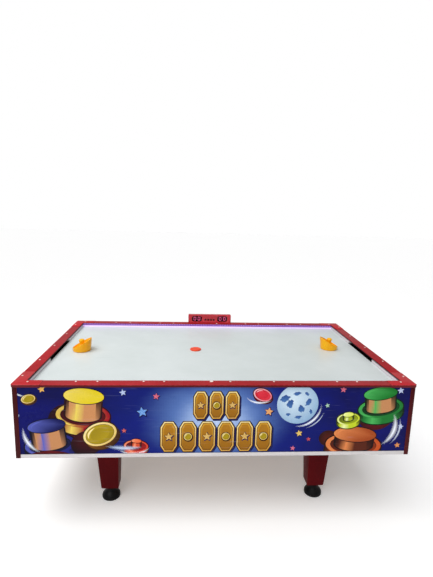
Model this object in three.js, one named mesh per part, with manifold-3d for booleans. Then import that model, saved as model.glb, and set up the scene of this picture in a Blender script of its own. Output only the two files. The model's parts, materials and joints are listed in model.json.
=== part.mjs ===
// Air hockey table: cabinet, rim, perforated playfield over an air plenum, goals with puck
// return trays, blower, scoreboard, legs on levelling feet, two mallets and a puck.
// Millimetres, +Z up. The origin is on the floor under the middle of the table, X runs along it.
import * as THREE from "three";
import { mergeVertices } from "three/addons/utils/BufferGeometryUtils.js";
import Module from "manifold-3d";

const wasm = await Module();
wasm.setup();

// Driving dimensions
const tableLength = 1850;
const tableWidth = 1110;
const tableHeight = 712;
const cabinetDepth = 357; // from the top of the rim to the underside of the cabinet
const gap = 0.3; // between pieces that rest on each other
const runningClearance = 1; // round pieces that move

const railWidth = 55;
const railPlate = 4; // thickness of the rail's top
const railLip = 12; // height of the rail's outer lip
const railOverhang = 8; // how far the lip stands out from the cabinet
const capProud = 1; // how far a corner cap stands above and outside the rails
const capArmX = 127;
const capArmY = 155;
const rimRounding = 3;
const rimCornerRadius = 16;

const boardThickness = 12; // cabinet panels
const skinThickness = 0.8; // printed laminate
const postLeg = 22;
const postWall = 2.2;
const trimHeight = 19;
const trimWall = 1.5;

const playfieldDrop = 28; // playfield below the top of the rim
const playfieldThickness = 10;
const bumperFoot = 15; // height of the bumper face
const bumperLedge = 13; // depth of the recess above the bumper face
const bumperFlange = 2;
const lightTape = { width: 8, thickness: 2, inset: 4 };

const goalWidth = 340;
const goalSlot = 35; // between the playfield's end and the end panel
const goalRounding = 12;
const tray = { wall: 3, floorHeight: 560, slope: 14, lip: 12, reach: 4, cheek: 46 };
const goalSensor = { length: 24, depth: 14, height: 16, nose: 3, drop: 22 };
const returnPocketHeight = 58;
const trayPocketClearance = 2;
const pocketRounding = 5;

const plenumDepth = 40;
const plenumWall = 18;
const plenumFloorThickness = 9;
const ribSpacing = 430;
const ribHeight = 25; // the ribs hang above the plenum floor, so the air passes under them
const plenumTrayGap = 4;

const cutterReach = 10; // how far a turned cutter passes beyond the wall it opens

const leg = { spacingX: 1074, spacingY: 642, top: 118, bottom: 88, depth: 100, toeDepth: 74, toe: 120 };
const legRise = 24; // how far a leg reaches up into the cabinet
const legRounding = 8;
const legCrossBeam = { width: 70, height: 40 };
const foot = { radius: 46, neck: 25, height: 68, stem: 8, stemLength: 34, headroom: 2 };
const footPad = { edge: 5, chamfer: 6, band: 16, shoulder: 26, waist: 38, neckStart: 50 };

const blower = { x: 0, y: 30, shaftHeight: 505, width: 70, wall: 3, impeller: 68, inlet: 52 };
const blowerTongue = 16; // least gap between the impeller and the scroll
const blowerScrollGrowth = 26;
const guardBar = { width: 3, depth: 2 };
const wheel = { clearance: 5, plate: 3, ring: 14, boss: 14, bossRise: 2, shaft: 38 };
const wheelHub = { start: 25, radius: 10, flare: 16, overlap: 2 };
const blade = { count: 20, chord: 13, thickness: 1.6, sweep: 0.6, middle: 7.5 };
const motor = { radius: 42, length: 78, shaft: 5, flange: 6, step: 5, chamfer: 2, bearing: 42 };
const motorNose = { length: 8, inset: 4 };

const scoreboard = { width: 300, height: 59, depth: 28, wall: 2.5, rearSetback: 2, corner: 5 };
const scoreWindow = { width: 71, height: 39, centre: 89.5, rise: 10.5, corner: 14 };
const scoreLens = { thickness: 2, beside: 5, above: 4 };
const scoreDisplay = { thickness: 6, beside: 2, above: 1 };
const circuitThickness = 1.6;
const scoreButton = { radius: 6, pitch: 19.5, count: 4, rise: 24, proud: 2, travel: 1.5 };
const buttonFlange = { proud: 2, thickness: 1.2, stemInset: 2, chamfer: 1 };

const inlet = { x: 620, z: 440, width: 52, height: 62, flange: 2, depth: 30, body: 44, corner: 4 };
const socket = { drop: 12, halfWidth: 13, halfHeight: 10, corner: 3, depth: 18 };
const pin = { pitch: 7, halfWidth: 1, halfHeight: 2.5, back: 19, front: 2, middleRise: 3, outerDrop: 2 };
const rocker = { width: 20, length: 16, height: 4, throw: 12, rise: 15, pivotDepth: 3, bay: 14 };
const rockerKey = { proud: 3, dish: 1.4, taper: 3 };

const mallet = { radius: 50, flare: 56, tall: 72, low: 17, wall: 4, floor: 8, band: 12 };
const malletEdge = { inset: 2, rise: 3 };
const malletKnob = { radius: 15, height: 66, waist: 3, swell: 22, widest: 12, shoulder: 6, crown: 4 };
const malletOvershoot = 8; // the hood is turned this much too tall, then cut off on the slant
const leftMalletPlace = [-753, 0];
const rightMalletPlace = [705, 57];
const puck = { radius: 32, thickness: 6, place: [-104, 20] };
const slidingLift = 0.4; // air film under the mallets and the puck

// Heights and faces that follow from the driving dimensions
const cabinetBottom = tableHeight - cabinetDepth;
const railTop = tableHeight - capProud;
const plateUnderside = railTop - railPlate;
const lipBottom = railTop - railLip;
const halfLength = tableLength / 2;
const halfWidth = tableWidth / 2;
const railOuterX = halfLength - capProud;
const railOuterY = halfWidth - capProud;
const innerX = halfLength - railWidth;
const innerY = halfWidth - railWidth;
const cabinetX = halfLength - railOverhang;
const cabinetY = halfWidth - railOverhang;
const boardY = cabinetY - skinThickness - gap;
const insideX = cabinetX - boardThickness;
const insideY = boardY - boardThickness;
const boardTop = plateUnderside - gap;
const boardBottom = cabinetBottom + trimWall + gap;
const playfieldTop = tableHeight - playfieldDrop;
const playfieldUnderside = playfieldTop - playfieldThickness;
const endX = insideX - gap;
const sideY = insideY - gap;
const postX = cabinetX + gap + postWall;
const postY = cabinetY + gap + postWall;
const trimHalfLength = postX - postLeg - gap;
const halfGoal = goalWidth / 2;
const slotX = insideX - goalSlot;
const trayBackX = slotX - gap;
const plenumX = trayBackX - tray.wall - plenumTrayGap;
const plenumBottom = playfieldUnderside - gap - plenumDepth;
const plenumFloorTop = plenumBottom - gap;
const plenumFloorBottom = plenumFloorTop - plenumFloorThickness;
const trayHalfWidth = halfGoal + tray.wall;

// Small geometry tools
const segments = 40;

function solid(geometry) {
  const bare = geometry.clone();
  bare.deleteAttribute("normal");
  bare.deleteAttribute("uv");
  const merged = mergeVertices(bare, 1e-4);
  return new wasm.Manifold(
    new wasm.Mesh({
      numProp: 3,
      vertProperties: new Float32Array(merged.attributes.position.array),
      triVerts: new Uint32Array(merged.index.array),
    }),
  );
}

function geometryOf(manifold) {
  const mesh = manifold.getMesh();
  const geometry = new THREE.BufferGeometry();
  geometry.setAttribute("position", new THREE.BufferAttribute(new Float32Array(mesh.vertProperties), 3));
  geometry.setIndex(new THREE.BufferAttribute(new Uint32Array(mesh.triVerts), 1));
  geometry.computeVertexNormals();
  return geometry;
}

const cut = (base, ...tools) => tools.reduce((left, tool) => left.subtract(tool), base);
const join = (base, ...others) => others.reduce((left, other) => left.add(other), base);

function block([x0, x1], [y0, y1], [z0, z1]) {
  const box = new THREE.BoxGeometry(x1 - x0, y1 - y0, z1 - z0);
  return solid(box.translate((x0 + x1) / 2, (y0 + y1) / 2, (z0 + z1) / 2));
}

function outline(points) {
  return new THREE.Shape(points.map(([u, v]) => new THREE.Vector2(u, v)));
}

function arc(u, v, radius, from, to, steps = 5) {
  return Array.from({ length: steps + 1 }, (_, step) => {
    const angle = from + ((to - from) * step) / steps;
    return [u + radius * Math.cos(angle), v + radius * Math.sin(angle)];
  });
}

function roundedRectangle([u0, u1], [v0, v1], radius) {
  const shape = new THREE.Shape();
  shape.moveTo(u0 + radius, v0);
  shape.lineTo(u1 - radius, v0);
  shape.absarc(u1 - radius, v0 + radius, radius, -Math.PI / 2, 0);
  shape.lineTo(u1, v1 - radius);
  shape.absarc(u1 - radius, v1 - radius, radius, 0, Math.PI / 2);
  shape.lineTo(u0 + radius, v1);
  shape.absarc(u0 + radius, v1 - radius, radius, Math.PI / 2, Math.PI);
  shape.lineTo(u0, v0 + radius);
  shape.absarc(u0 + radius, v0 + radius, radius, Math.PI, 1.5 * Math.PI);
  return shape;
}

// An outline drawn in X and Y, standing from z0 to z1
function upright(shape, [z0, z1], curveSegments = 5) {
  const settings = { depth: z1 - z0, bevelEnabled: false, curveSegments };
  return solid(new THREE.ExtrudeGeometry(shape, settings).translate(0, 0, z0));
}

// An outline drawn in X and Z, running from y0 to y1
function alongY(shape, [y0, y1], curveSegments = 5) {
  const settings = { depth: y1 - y0, bevelEnabled: false, curveSegments };
  return solid(new THREE.ExtrudeGeometry(shape, settings).rotateX(Math.PI / 2).translate(0, y1, 0));
}

// An outline drawn in Y and Z, running from x0 to x1
function alongX(shape, [x0, x1], curveSegments = 5) {
  const settings = { depth: x1 - x0, bevelEnabled: false, curveSegments };
  const geometry = new THREE.ExtrudeGeometry(shape, settings);
  return solid(geometry.rotateX(Math.PI / 2).rotateZ(Math.PI / 2).translate(x0, 0, 0));
}

// A profile of radius and height, turned about Z
function turned(points, steps = segments) {
  const profile = points.map(([radius, height]) => new THREE.Vector2(radius, height));
  return solid(new THREE.LatheGeometry(profile, steps).rotateX(Math.PI / 2));
}

// The same, turned about the Y axis that passes through x and z, heights counted along Y
function turnedAboutY(points, x, z, steps = segments) {
  const profile = points.map(([radius, height]) => new THREE.Vector2(radius, height));
  return solid(new THREE.LatheGeometry(profile, steps).translate(x, 0, z));
}

const finishes = {
  railRed: { color: 0xb4252e, roughness: 0.4, metalness: 0.1 },
  capRed: { color: 0xe03440, roughness: 0.35, metalness: 0 },
  postRed: { color: 0x8c0f18, roughness: 0.4, metalness: 0.1 },
  trimWhite: { color: 0xd4cfd0, roughness: 0.35, metalness: 0.4 },
  printedBlue: { color: 0x10207c, roughness: 0.35, metalness: 0 },
  board: { color: 0x8f6f4e, roughness: 0.85, metalness: 0 },
  endBlue: { color: 0x0c1964, roughness: 0.4, metalness: 0 },
  playfieldWhite: { color: 0xe3e7e7, roughness: 0.2, metalness: 0 },
  bumperWhite: { color: 0xeadcf2, roughness: 0.3, metalness: 0 },
  lightStrip: { color: 0xd9b8ff, roughness: 0.5, metalness: 0 },
  trayBlack: { color: 0x111113, roughness: 0.5, metalness: 0 },
  legMaroon: { color: 0x4c0710, roughness: 0.45, metalness: 0 },
  rubberBlack: { color: 0x0b0b0c, roughness: 0.7, metalness: 0 },
  housingBlack: { color: 0x1a1b1d, roughness: 0.5, metalness: 0 },
  motorGrey: { color: 0x8d9195, roughness: 0.4, metalness: 0.8 },
  tintedRed: { color: 0x3a0410, roughness: 0.1, metalness: 0 },
  displayRed: { color: 0x5a0b18, roughness: 0.4, metalness: 0 },
  circuitGreen: { color: 0x0d5a35, roughness: 0.5, metalness: 0 },
  malletOrange: { color: 0xf59b0a, roughness: 0.3, metalness: 0 },
  puckOrange: { color: 0xf0643c, roughness: 0.35, metalness: 0 },
};

const group = new THREE.Group();

function add(name, manifold, finish) {
  const mesh = new THREE.Mesh(geometryOf(manifold), new THREE.MeshStandardMaterial(finishes[finish]));
  mesh.name = name;
  group.add(mesh);
}

const ends = [
  { name: "left", sign: -1 },
  { name: "right", sign: 1 },
];
const sides = [
  { name: "front", sign: -1 },
  { name: "rear", sign: 1 },
];
const mirrored = (manifold, signX, signY) => manifold.scale([signX, signY, 1]);

// Cabinet panels, skins and bottom trims
function inletHole() {
  const body = inlet.body / 2 + runningClearance;
  const height = inlet.height / 2 - 4 + runningClearance;
  return block([inlet.x - body, inlet.x + body], [0, halfWidth], [inlet.z - height, inlet.z + height]);
}

function longPanel(side) {
  const panel = block([-cabinetX, cabinetX], [insideY, boardY], [boardBottom, boardTop]);
  const skin = block([-cabinetX, cabinetX], [boardY + gap, cabinetY], [boardBottom, lipBottom - gap]);
  const pieces = side.sign > 0 ? [cut(panel, inletHole()), cut(skin, inletHole())] : [panel, skin];
  add(`${side.name}_panel`, mirrored(pieces[0], 1, side.sign), "board");
  add(`${side.name}_graphic`, mirrored(pieces[1], 1, side.sign), "printedBlue");
}

function endPanel(end) {
  const panel = block([insideX, cabinetX], [-sideY, sideY], [boardBottom, boardTop]);
  const pocket = roundedRectangle(
    [-trayHalfWidth - trayPocketClearance, trayHalfWidth + trayPocketClearance],
    [tray.floorHeight - tray.wall - trayPocketClearance, tray.floorHeight + returnPocketHeight],
    pocketRounding,
  );
  const cutter = alongX(pocket, [insideX - 1, cabinetX + 1]);
  add(`${end.name}_end_panel`, mirrored(cut(panel, cutter), end.sign, 1), "endBlue");
}

function bottomTrim(side) {
  const outer = block(
    [-trimHalfLength, trimHalfLength],
    [insideY - gap - trimWall, cabinetY + gap + trimWall],
    [cabinetBottom, cabinetBottom + trimHeight],
  );
  const channel = block(
    [-halfLength, halfLength],
    [insideY - gap, cabinetY + gap],
    [cabinetBottom + trimWall, tableHeight],
  );
  add(`${side.name}_bottom_trim`, mirrored(cut(outer, channel), 1, side.sign), "trimWhite");
}

function cornerPost(end, side) {
  const plan = outline([
    [postX - postLeg, postY],
    [postX - postLeg, postY - postWall],
    [postX - postWall, postY - postWall],
    [postX - postWall, postY - postLeg],
    [postX, postY - postLeg],
    [postX, postY - postWall],
    [postX - postWall, postY],
  ]);
  const post = upright(plan, [cabinetBottom, lipBottom - gap]);
  add(`${side.name}_${end.name}_corner_post`, mirrored(post, end.sign, side.sign), "postRed");
}

// Rim: the section runs outwards from the rail's inner edge
function rimSection(inner, outer, top) {
  const lip = railOverhang - capProud - gap;
  const shape = new THREE.Shape();
  shape.moveTo(inner, top - railPlate);
  shape.lineTo(inner, top - rimRounding);
  shape.absarc(inner + rimRounding, top - rimRounding, rimRounding, Math.PI, Math.PI / 2, true);
  shape.lineTo(outer - rimRounding, top);
  shape.absarc(outer - rimRounding, top - rimRounding, rimRounding, Math.PI / 2, 0, true);
  shape.lineTo(outer, lipBottom);
  shape.lineTo(outer - lip, lipBottom);
  shape.lineTo(outer - lip, top - railPlate);
  return shape;
}

function rails() {
  const longRun = halfLength - capArmX - gap;
  const endRun = halfWidth - capArmY - gap;
  const long = alongX(rimSection(innerY, railOuterY, railTop), [-longRun, longRun], 3);
  const short = alongY(rimSection(innerX, railOuterX, railTop), [-endRun, endRun], 3);
  for (const side of sides) add(`${side.name}_rail`, mirrored(long, 1, side.sign), "railRed");
  for (const end of ends) add(`${end.name}_rail`, mirrored(short, end.sign, 1), "railRed");
}

function cornerCap(end, side) {
  const armX = alongX(rimSection(innerY, halfWidth, tableHeight), [halfLength - capArmX, halfLength], 3);
  const armY = alongY(rimSection(innerX, halfLength, tableHeight), [halfWidth - capArmY, halfWidth], 3);
  const far = tableLength;
  const mitre = outline([
    [innerX - far, innerY - far],
    [innerX + far, innerY + far],
    [innerX - far, innerY + far],
  ]);
  const rear = upright(mitre, [0, far]);
  const rounded = roundedRectangle([-halfLength, halfLength], [-halfWidth, halfWidth], rimCornerRadius);
  const plan = upright(rounded, [lipBottom - 1, tableHeight + 1]);
  const cap = join(armX.intersect(rear), armY.subtract(rear)).intersect(plan);
  add(`${side.name}_${end.name}_corner_cap`, mirrored(cap, end.sign, side.sign), "capRed");
}

// Bumpers: a pale face, a shaded recess above it and a flange under the rail
function bumperSection(inner, outer) {
  const bottom = playfieldTop + gap;
  const ledge = playfieldTop + bumperFoot;
  const flange = boardTop - bumperFlange;
  return outline([
    [inner, bottom],
    [outer, bottom],
    [outer, boardTop],
    [inner, boardTop],
    [inner, flange],
    [inner + bumperLedge, flange],
    [inner + bumperLedge, ledge],
    [inner, ledge],
  ]);
}

function bumpers() {
  const long = alongX(bumperSection(innerY, sideY), [-endX, endX]);
  for (const side of sides) add(`${side.name}_bumper`, mirrored(long, 1, side.sign), "bumperWhite");
  const short = alongY(bumperSection(innerX, endX), [gap - innerY, innerY - gap]);
  const wide = halfGoal + goalRounding;
  const deep = innerX + goalRounding;
  const mouth = outline([
    [innerX - 1, wide],
    [innerX - 1, -wide],
    ...arc(deep, -wide, goalRounding, Math.PI, Math.PI / 2),
    [endX + 1, -halfGoal],
    [endX + 1, halfGoal],
    ...arc(deep, wide, goalRounding, -Math.PI / 2, -Math.PI),
  ]);
  const cutter = upright(mouth, [playfieldTop - 1, boardTop - bumperFlange]);
  for (const end of ends) add(`${end.name}_bumper`, mirrored(cut(short, cutter), end.sign, 1), "bumperWhite");
}

function lightStrips() {
  const flange = boardTop - bumperFlange - gap;
  const front = innerY + lightTape.inset;
  const tape = block(
    [-innerX, innerX],
    [front, front + lightTape.width],
    [flange - lightTape.thickness, flange],
  );
  for (const side of sides) add(`${side.name}_light_strip`, mirrored(tape, 1, side.sign), "lightStrip");
}

// Playfield, goals and plenum
function playfield() {
  const board = block([-endX, endX], [-sideY, sideY], [playfieldUnderside, playfieldTop]);
  const notches = ends.map(({ sign }) =>
    mirrored(
      block([slotX, halfLength], [-trayHalfWidth - gap, trayHalfWidth + gap], [0, tableHeight]),
      sign,
      1,
    ),
  );
  add("playfield", cut(board, ...notches), "playfieldWhite");
}

function goalTray(end) {
  const back = trayBackX - tray.wall;
  const top = playfieldUnderside - gap;
  const inside = insideX - gap;
  const front = cabinetX + tray.reach;
  const floorBack = tray.floorHeight + tray.slope;
  const cheekTop = tray.floorHeight + tray.cheek;
  const lipTop = tray.floorHeight + tray.lip;
  const shell = outline([
    [back, top],
    [back, floorBack - tray.wall],
    [front, tray.floorHeight - tray.wall],
    [front, lipTop],
    [inside, cheekTop],
    [inside, top],
  ]);
  const hollow = outline([
    [trayBackX, top + 1],
    [trayBackX, floorBack],
    [front - tray.wall, tray.floorHeight],
    [front - tray.wall, lipTop],
    [front + 1, lipTop],
    [front + 1, top + 1],
  ]);
  const noseX = (trayBackX + inside) / 2;
  const noseZ = top - goalSensor.drop;
  const nose = (radius, [y0, y1]) =>
    turnedAboutY([[0, y0], [radius, y0], [radius, y1], [0, y1]], noseX, noseZ, 16);
  const body = cut(
    alongY(shell, [-trayHalfWidth, trayHalfWidth]),
    alongY(hollow, [-halfGoal, halfGoal]),
    nose(goalSensor.nose + gap, [-trayHalfWidth - 1, -halfGoal + 1]),
  );
  add(`${end.name}_goal_tray`, mirrored(body, end.sign, 1), "trayBlack");

  // The sensor looks across the chute through a hole in the tray's front cheek
  const face = -trayHalfWidth - gap;
  const { length, depth, height } = goalSensor;
  const box = block(
    [noseX - length / 2, noseX + length / 2],
    [face - depth, face],
    [noseZ - height / 2, noseZ + height / 2],
  );
  const eye = nose(goalSensor.nose, [face - 1, -halfGoal - gap]);
  add(`${end.name}_goal_sensor`, mirrored(join(box, eye), end.sign, 1), "housingBlack");
}

function plenum() {
  const top = playfieldUnderside - gap;
  const outer = block([-plenumX, plenumX], [-sideY, sideY], [plenumBottom, top]);
  const inside = block(
    [plenumWall - plenumX, plenumX - plenumWall],
    [plenumWall - sideY, sideY - plenumWall],
    [plenumBottom - 1, top + 1],
  );
  const ribs = [-ribSpacing, 0, ribSpacing].map((x) =>
    block([x - plenumWall / 2, x + plenumWall / 2], [-sideY + 1, sideY - 1], [top - ribHeight, top]),
  );
  add("plenum_frame", join(cut(outer, inside), ...ribs), "board");
  const port = blowerPort(0);
  const floor = block([-plenumX, plenumX], [-sideY, sideY], [plenumFloorBottom, plenumFloorTop]);
  const opening = block(port.x, port.y, [plenumFloorBottom - 1, plenumFloorTop + 1]);
  add("plenum_floor", cut(floor, opening), "board");
}

// Blower: a scroll whose outlet points up at the plenum floor, turning about Y
function blowerPort(wall) {
  const outer = blower.impeller + blowerTongue + blowerScrollGrowth;
  return {
    x: [blower.x + blower.impeller / 2 - wall, blower.x + outer + wall],
    y: [blower.y - blower.width / 2 - wall, blower.y + blower.width / 2 + wall],
  };
}

function scroll(wall, [y0, y1], top) {
  const points = [];
  const steps = 30;
  for (let step = 0; step <= steps; step += 1) {
    const share = step / steps;
    const angle = share * 1.8 * Math.PI - 1.8 * Math.PI;
    const radius = blower.impeller + blowerTongue + blowerScrollGrowth * share + wall;
    points.push([blower.x + radius * Math.cos(angle), blower.shaftHeight + radius * Math.sin(angle)]);
  }
  const port = blowerPort(wall);
  const outlet = block(port.x, [y0, y1], [blower.shaftHeight, top]);
  return join(alongY(outline(points), [y0, y1]), outlet);
}

function blowerHousing() {
  const y0 = blower.y - blower.width / 2;
  const y1 = blower.y + blower.width / 2;
  const top = plenumFloorBottom - gap;
  const outer = scroll(blower.wall, [y0 - blower.wall, y1 + blower.wall], top);
  const port = blowerPort(0);
  const inside = join(
    scroll(0, [y0, y1], top + 1),
    block(port.x, port.y, [top - 1, top + 2]),
  );
  const inletCut = turnedAboutY(
    [[0, y0 - cutterReach], [blower.inlet, y0 - cutterReach], [blower.inlet, y0 + 1], [0, y0 + 1]],
    blower.x,
    blower.shaftHeight,
  );
  const shaftHole = motor.shaft * 2;
  const shaftCut = turnedAboutY(
    [[0, y1 - 1], [shaftHole, y1 - 1], [shaftHole, y1 + cutterReach], [0, y1 + cutterReach]],
    blower.x,
    blower.shaftHeight,
  );
  const guard = [-1, 0, 1].flatMap((lane) => {
    const offset = (lane * blower.inlet) / 2;
    const span = blower.inlet + guardBar.depth;
    const half = guardBar.width / 2;
    const bar = [y0 - blower.wall, y0 - blower.wall + guardBar.depth];
    const { x, shaftHeight } = blower;
    return [
      block([x - span, x + span], bar, [shaftHeight + offset - half, shaftHeight + offset + half]),
      block([x + offset - half, x + offset + half], bar, [shaftHeight - span, shaftHeight + span]),
    ];
  });
  const disc = turnedAboutY(
    [[0, y0 - cutterReach], [blower.inlet + 1, y0 - cutterReach], [blower.inlet + 1, y1], [0, y1]],
    blower.x,
    blower.shaftHeight,
  );
  const shell = cut(outer, inside, inletCut, shaftCut);
  add("blower_housing", join(shell, ...guard.map((bar) => bar.intersect(disc))), "housingBlack");
}

function blowerImpeller() {
  const y0 = blower.y - blower.width / 2 + wheel.clearance;
  const y1 = blower.y + blower.width / 2 - wheel.clearance;
  const { x, shaftHeight, impeller } = blower;
  const plateFace = y1 - wheel.plate;
  const shaftEnd = y1 + wheel.shaft;
  const plate = turnedAboutY(
    [[0, plateFace], [impeller, plateFace], [impeller, y1], [wheel.boss, y1],
      [motor.shaft, y1 + wheel.bossRise], [motor.shaft, shaftEnd], [0, shaftEnd]],
    x,
    shaftHeight,
  );
  const hubStart = y0 + wheelHub.start;
  const hubEnd = y1 - wheelHub.overlap;
  const hub = turnedAboutY(
    [[0, hubStart], [wheelHub.radius, hubStart], [wheelHub.flare, hubEnd], [0, hubEnd]],
    x,
    shaftHeight,
    24,
  );
  const ringInner = impeller - wheel.ring;
  const ringEnd = y0 + wheel.plate;
  const ring = turnedAboutY(
    [[ringInner, y0], [impeller, y0], [impeller, ringEnd], [ringInner, ringEnd], [ringInner, y0]],
    x,
    shaftHeight,
  );
  const blades = Array.from({ length: blade.count }, (_, index) => {
    const vane = new THREE.BoxGeometry(blade.chord, y1 - y0 - wheel.plate, blade.thickness);
    vane.rotateY(blade.sweep).translate(impeller - blade.middle, 0, 0);
    vane.rotateY((index / blade.count) * 2 * Math.PI).translate(x, (y0 + y1) / 2, shaftHeight);
    return solid(vane);
  });
  add("blower_impeller", join(plate, hub, ring, ...blades), "housingBlack");
}

function blowerMotor() {
  const face = blower.y + blower.width / 2 + blower.wall + gap;
  const { x, shaftHeight } = blower;
  const bore = motor.shaft + runningClearance;
  const canRadius = motor.radius - motor.step;
  const flangeRear = face + motor.flange;
  const rear = face + motor.length;
  const can = turnedAboutY(
    [[bore, face], [motor.radius, face], [motor.radius, flangeRear], [canRadius, flangeRear + motor.chamfer],
      [canRadius, rear - motorNose.length], [canRadius - motorNose.inset, rear],
      [0, rear], [0, face + motor.bearing], [bore, face + motor.bearing], [bore, face]],
    x,
    shaftHeight,
  );
  add("blower_motor", can, "motorGrey");
}

// Legs, their cross beams and the levelling feet
const legTop = cabinetBottom + legRise;

function crossBeam(end) {
  const x = leg.spacingX / 2;
  const beam = block(
    [x - legCrossBeam.width / 2, x + legCrossBeam.width / 2],
    [-sideY, sideY],
    [legTop + gap, legTop + gap + legCrossBeam.height],
  );
  add(`${end.name}_cross_beam`, mirrored(beam, end.sign, 1), "board");
}

function legAndFoot(end, side) {
  const x = leg.spacingX / 2;
  const y = leg.spacingY / 2;
  const inner = x - leg.bottom / 2;
  const lean = Math.atan((leg.top - leg.bottom) / (legTop - foot.height));
  const front = new THREE.Shape();
  front.moveTo(inner, foot.height);
  front.lineTo(inner + leg.bottom - legRounding, foot.height);
  const roundingX = inner + leg.bottom - legRounding;
  front.absarc(roundingX, foot.height + legRounding, legRounding, -Math.PI / 2, -lean);
  front.lineTo(inner + leg.top, legTop);
  front.lineTo(inner, legTop);
  const outer = y + leg.depth / 2;
  const profile = outline([
    [outer - leg.toeDepth, foot.height],
    [outer, foot.height],
    [outer, legTop],
    [outer - leg.depth, legTop],
    [outer - leg.depth, foot.height + leg.toe],
  ]);
  const body = alongY(front, [y - leg.depth, y + leg.depth]).intersect(alongX(profile, [0, halfLength]));
  const socketRadius = foot.stem + runningClearance;
  const footY = outer - leg.toeDepth / 2;
  const socketTop = foot.height + foot.stemLength + foot.headroom;
  const socketProfile = [[0, 0], [socketRadius, 0], [socketRadius, socketTop], [0, socketTop]];
  const stemSocket = turned(socketProfile, 24).translate([x, footY, 0]);
  add(`${side.name}_${end.name}_leg`, mirrored(cut(body, stemSocket), end.sign, side.sign), "legMaroon");
  const { radius, neck, height, stem, stemLength } = foot;
  const { edge, chamfer, band, shoulder, waist, neckStart } = footPad;
  const pad = turned([
    [0, 0], [radius - edge, 0], [radius, chamfer], [radius, band], [radius - edge, shoulder],
    [neck + edge, waist], [neck, neckStart], [neck, height - gap], [stem, height - gap],
    [stem, height + stemLength], [0, height + stemLength],
  ], 32).translate([x, footY, 0]);
  add(`${side.name}_${end.name}_foot`, mirrored(pad, end.sign, side.sign), "rubberBlack");
}

// Scoreboard on the rear rail
const scoreRear = halfWidth - scoreboard.rearSetback;
const scoreFront = scoreRear - scoreboard.depth;
const scoreBottom = railTop + gap;
const scoreTop = scoreBottom + scoreboard.height;
const scoreInside = scoreFront + scoreboard.wall;
const windowBottom = scoreBottom + scoreWindow.rise;
const lensRear = scoreInside + gap + scoreLens.thickness;
const buttonHeight = scoreBottom + scoreButton.rise;
const buttonPlaces = Array.from(
  { length: scoreButton.count },
  (_, index) => (index - (scoreButton.count - 1) / 2) * scoreButton.pitch,
);

function buttonHoles() {
  const radius = scoreButton.radius + runningClearance / 2;
  return buttonPlaces.map((x) =>
    turnedAboutY(
      [[0, scoreFront - 1], [radius, scoreFront - 1], [radius, lensRear + 1], [0, lensRear + 1]],
      x,
      buttonHeight,
      24,
    ),
  );
}

function scoreboardPieces() {
  const half = scoreboard.width / 2;
  const { wall, corner } = scoreboard;
  const skirt = 2 * corner; // cut away, so that only the top corners stay rounded
  const profile = roundedRectangle([-half, half], [scoreBottom - skirt, scoreTop], corner);
  const trimHeights = [scoreBottom - skirt - 1, scoreBottom];
  const trim = block([-half - 1, half + 1], [scoreFront - 1, scoreRear + 1], trimHeights);
  const shell = cut(alongY(profile, [scoreFront, scoreRear]), trim);
  const hollow = block([wall - half, half - wall], [scoreInside, scoreRear - wall], [0, scoreTop - wall]);
  const windows = ends.map(({ sign }) => {
    const x = sign * scoreWindow.centre;
    const opening = roundedRectangle(
      [x - scoreWindow.width / 2, x + scoreWindow.width / 2],
      [windowBottom, windowBottom + scoreWindow.height],
      scoreWindow.corner,
    );
    return alongY(opening, [scoreFront - 1, scoreInside + 1]);
  });
  add("scoreboard_housing", cut(shell, hollow, ...windows, ...buttonHoles()), "capRed");

  const lensHalf = scoreWindow.centre + scoreWindow.width / 2 + scoreLens.beside;
  const lensHeight = [windowBottom - scoreLens.above, windowBottom + scoreWindow.height + scoreLens.above];
  const lens = block([-lensHalf, lensHalf], [scoreInside + gap, lensRear], lensHeight);
  add("scoreboard_lens", cut(lens, ...buttonHoles()), "tintedRed");

  for (const { name, sign } of ends) {
    const x = sign * scoreWindow.centre;
    const halfModule = scoreWindow.width / 2 - scoreDisplay.beside;
    const module = block(
      [x - halfModule, x + halfModule],
      [lensRear + gap, lensRear + gap + scoreDisplay.thickness],
      [windowBottom + scoreDisplay.above, windowBottom + scoreWindow.height - scoreDisplay.above],
    );
    add(`${name}_score_display`, module, "displayRed");
  }
  const boardFront = lensRear + gap + scoreDisplay.thickness + gap;
  const circuit = block([-lensHalf, lensHalf], [boardFront, boardFront + circuitThickness], lensHeight);
  add("scoreboard_circuit_board", circuit, "circuitGreen");

  buttonPlaces.forEach((x, index) => {
    const { radius, proud, travel } = scoreButton;
    const rear = boardFront - travel - runningClearance / 2;
    const tip = scoreFront - proud;
    const flange = lensRear + gap;
    const flangeRear = flange + buttonFlange.thickness;
    const flangeRadius = radius + buttonFlange.proud;
    const stemRadius = radius - buttonFlange.stemInset;
    const cap = turnedAboutY(
      [[0, tip], [radius - buttonFlange.chamfer, tip], [radius, tip + buttonFlange.chamfer],
        [radius, flange], [flangeRadius, flange], [flangeRadius, flangeRear], [stemRadius, flangeRear],
        [stemRadius, rear], [0, rear]],
      x,
      buttonHeight,
      24,
    );
    add(`score_button_${index + 1}`, cap, "rubberBlack");
  });
}

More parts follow.
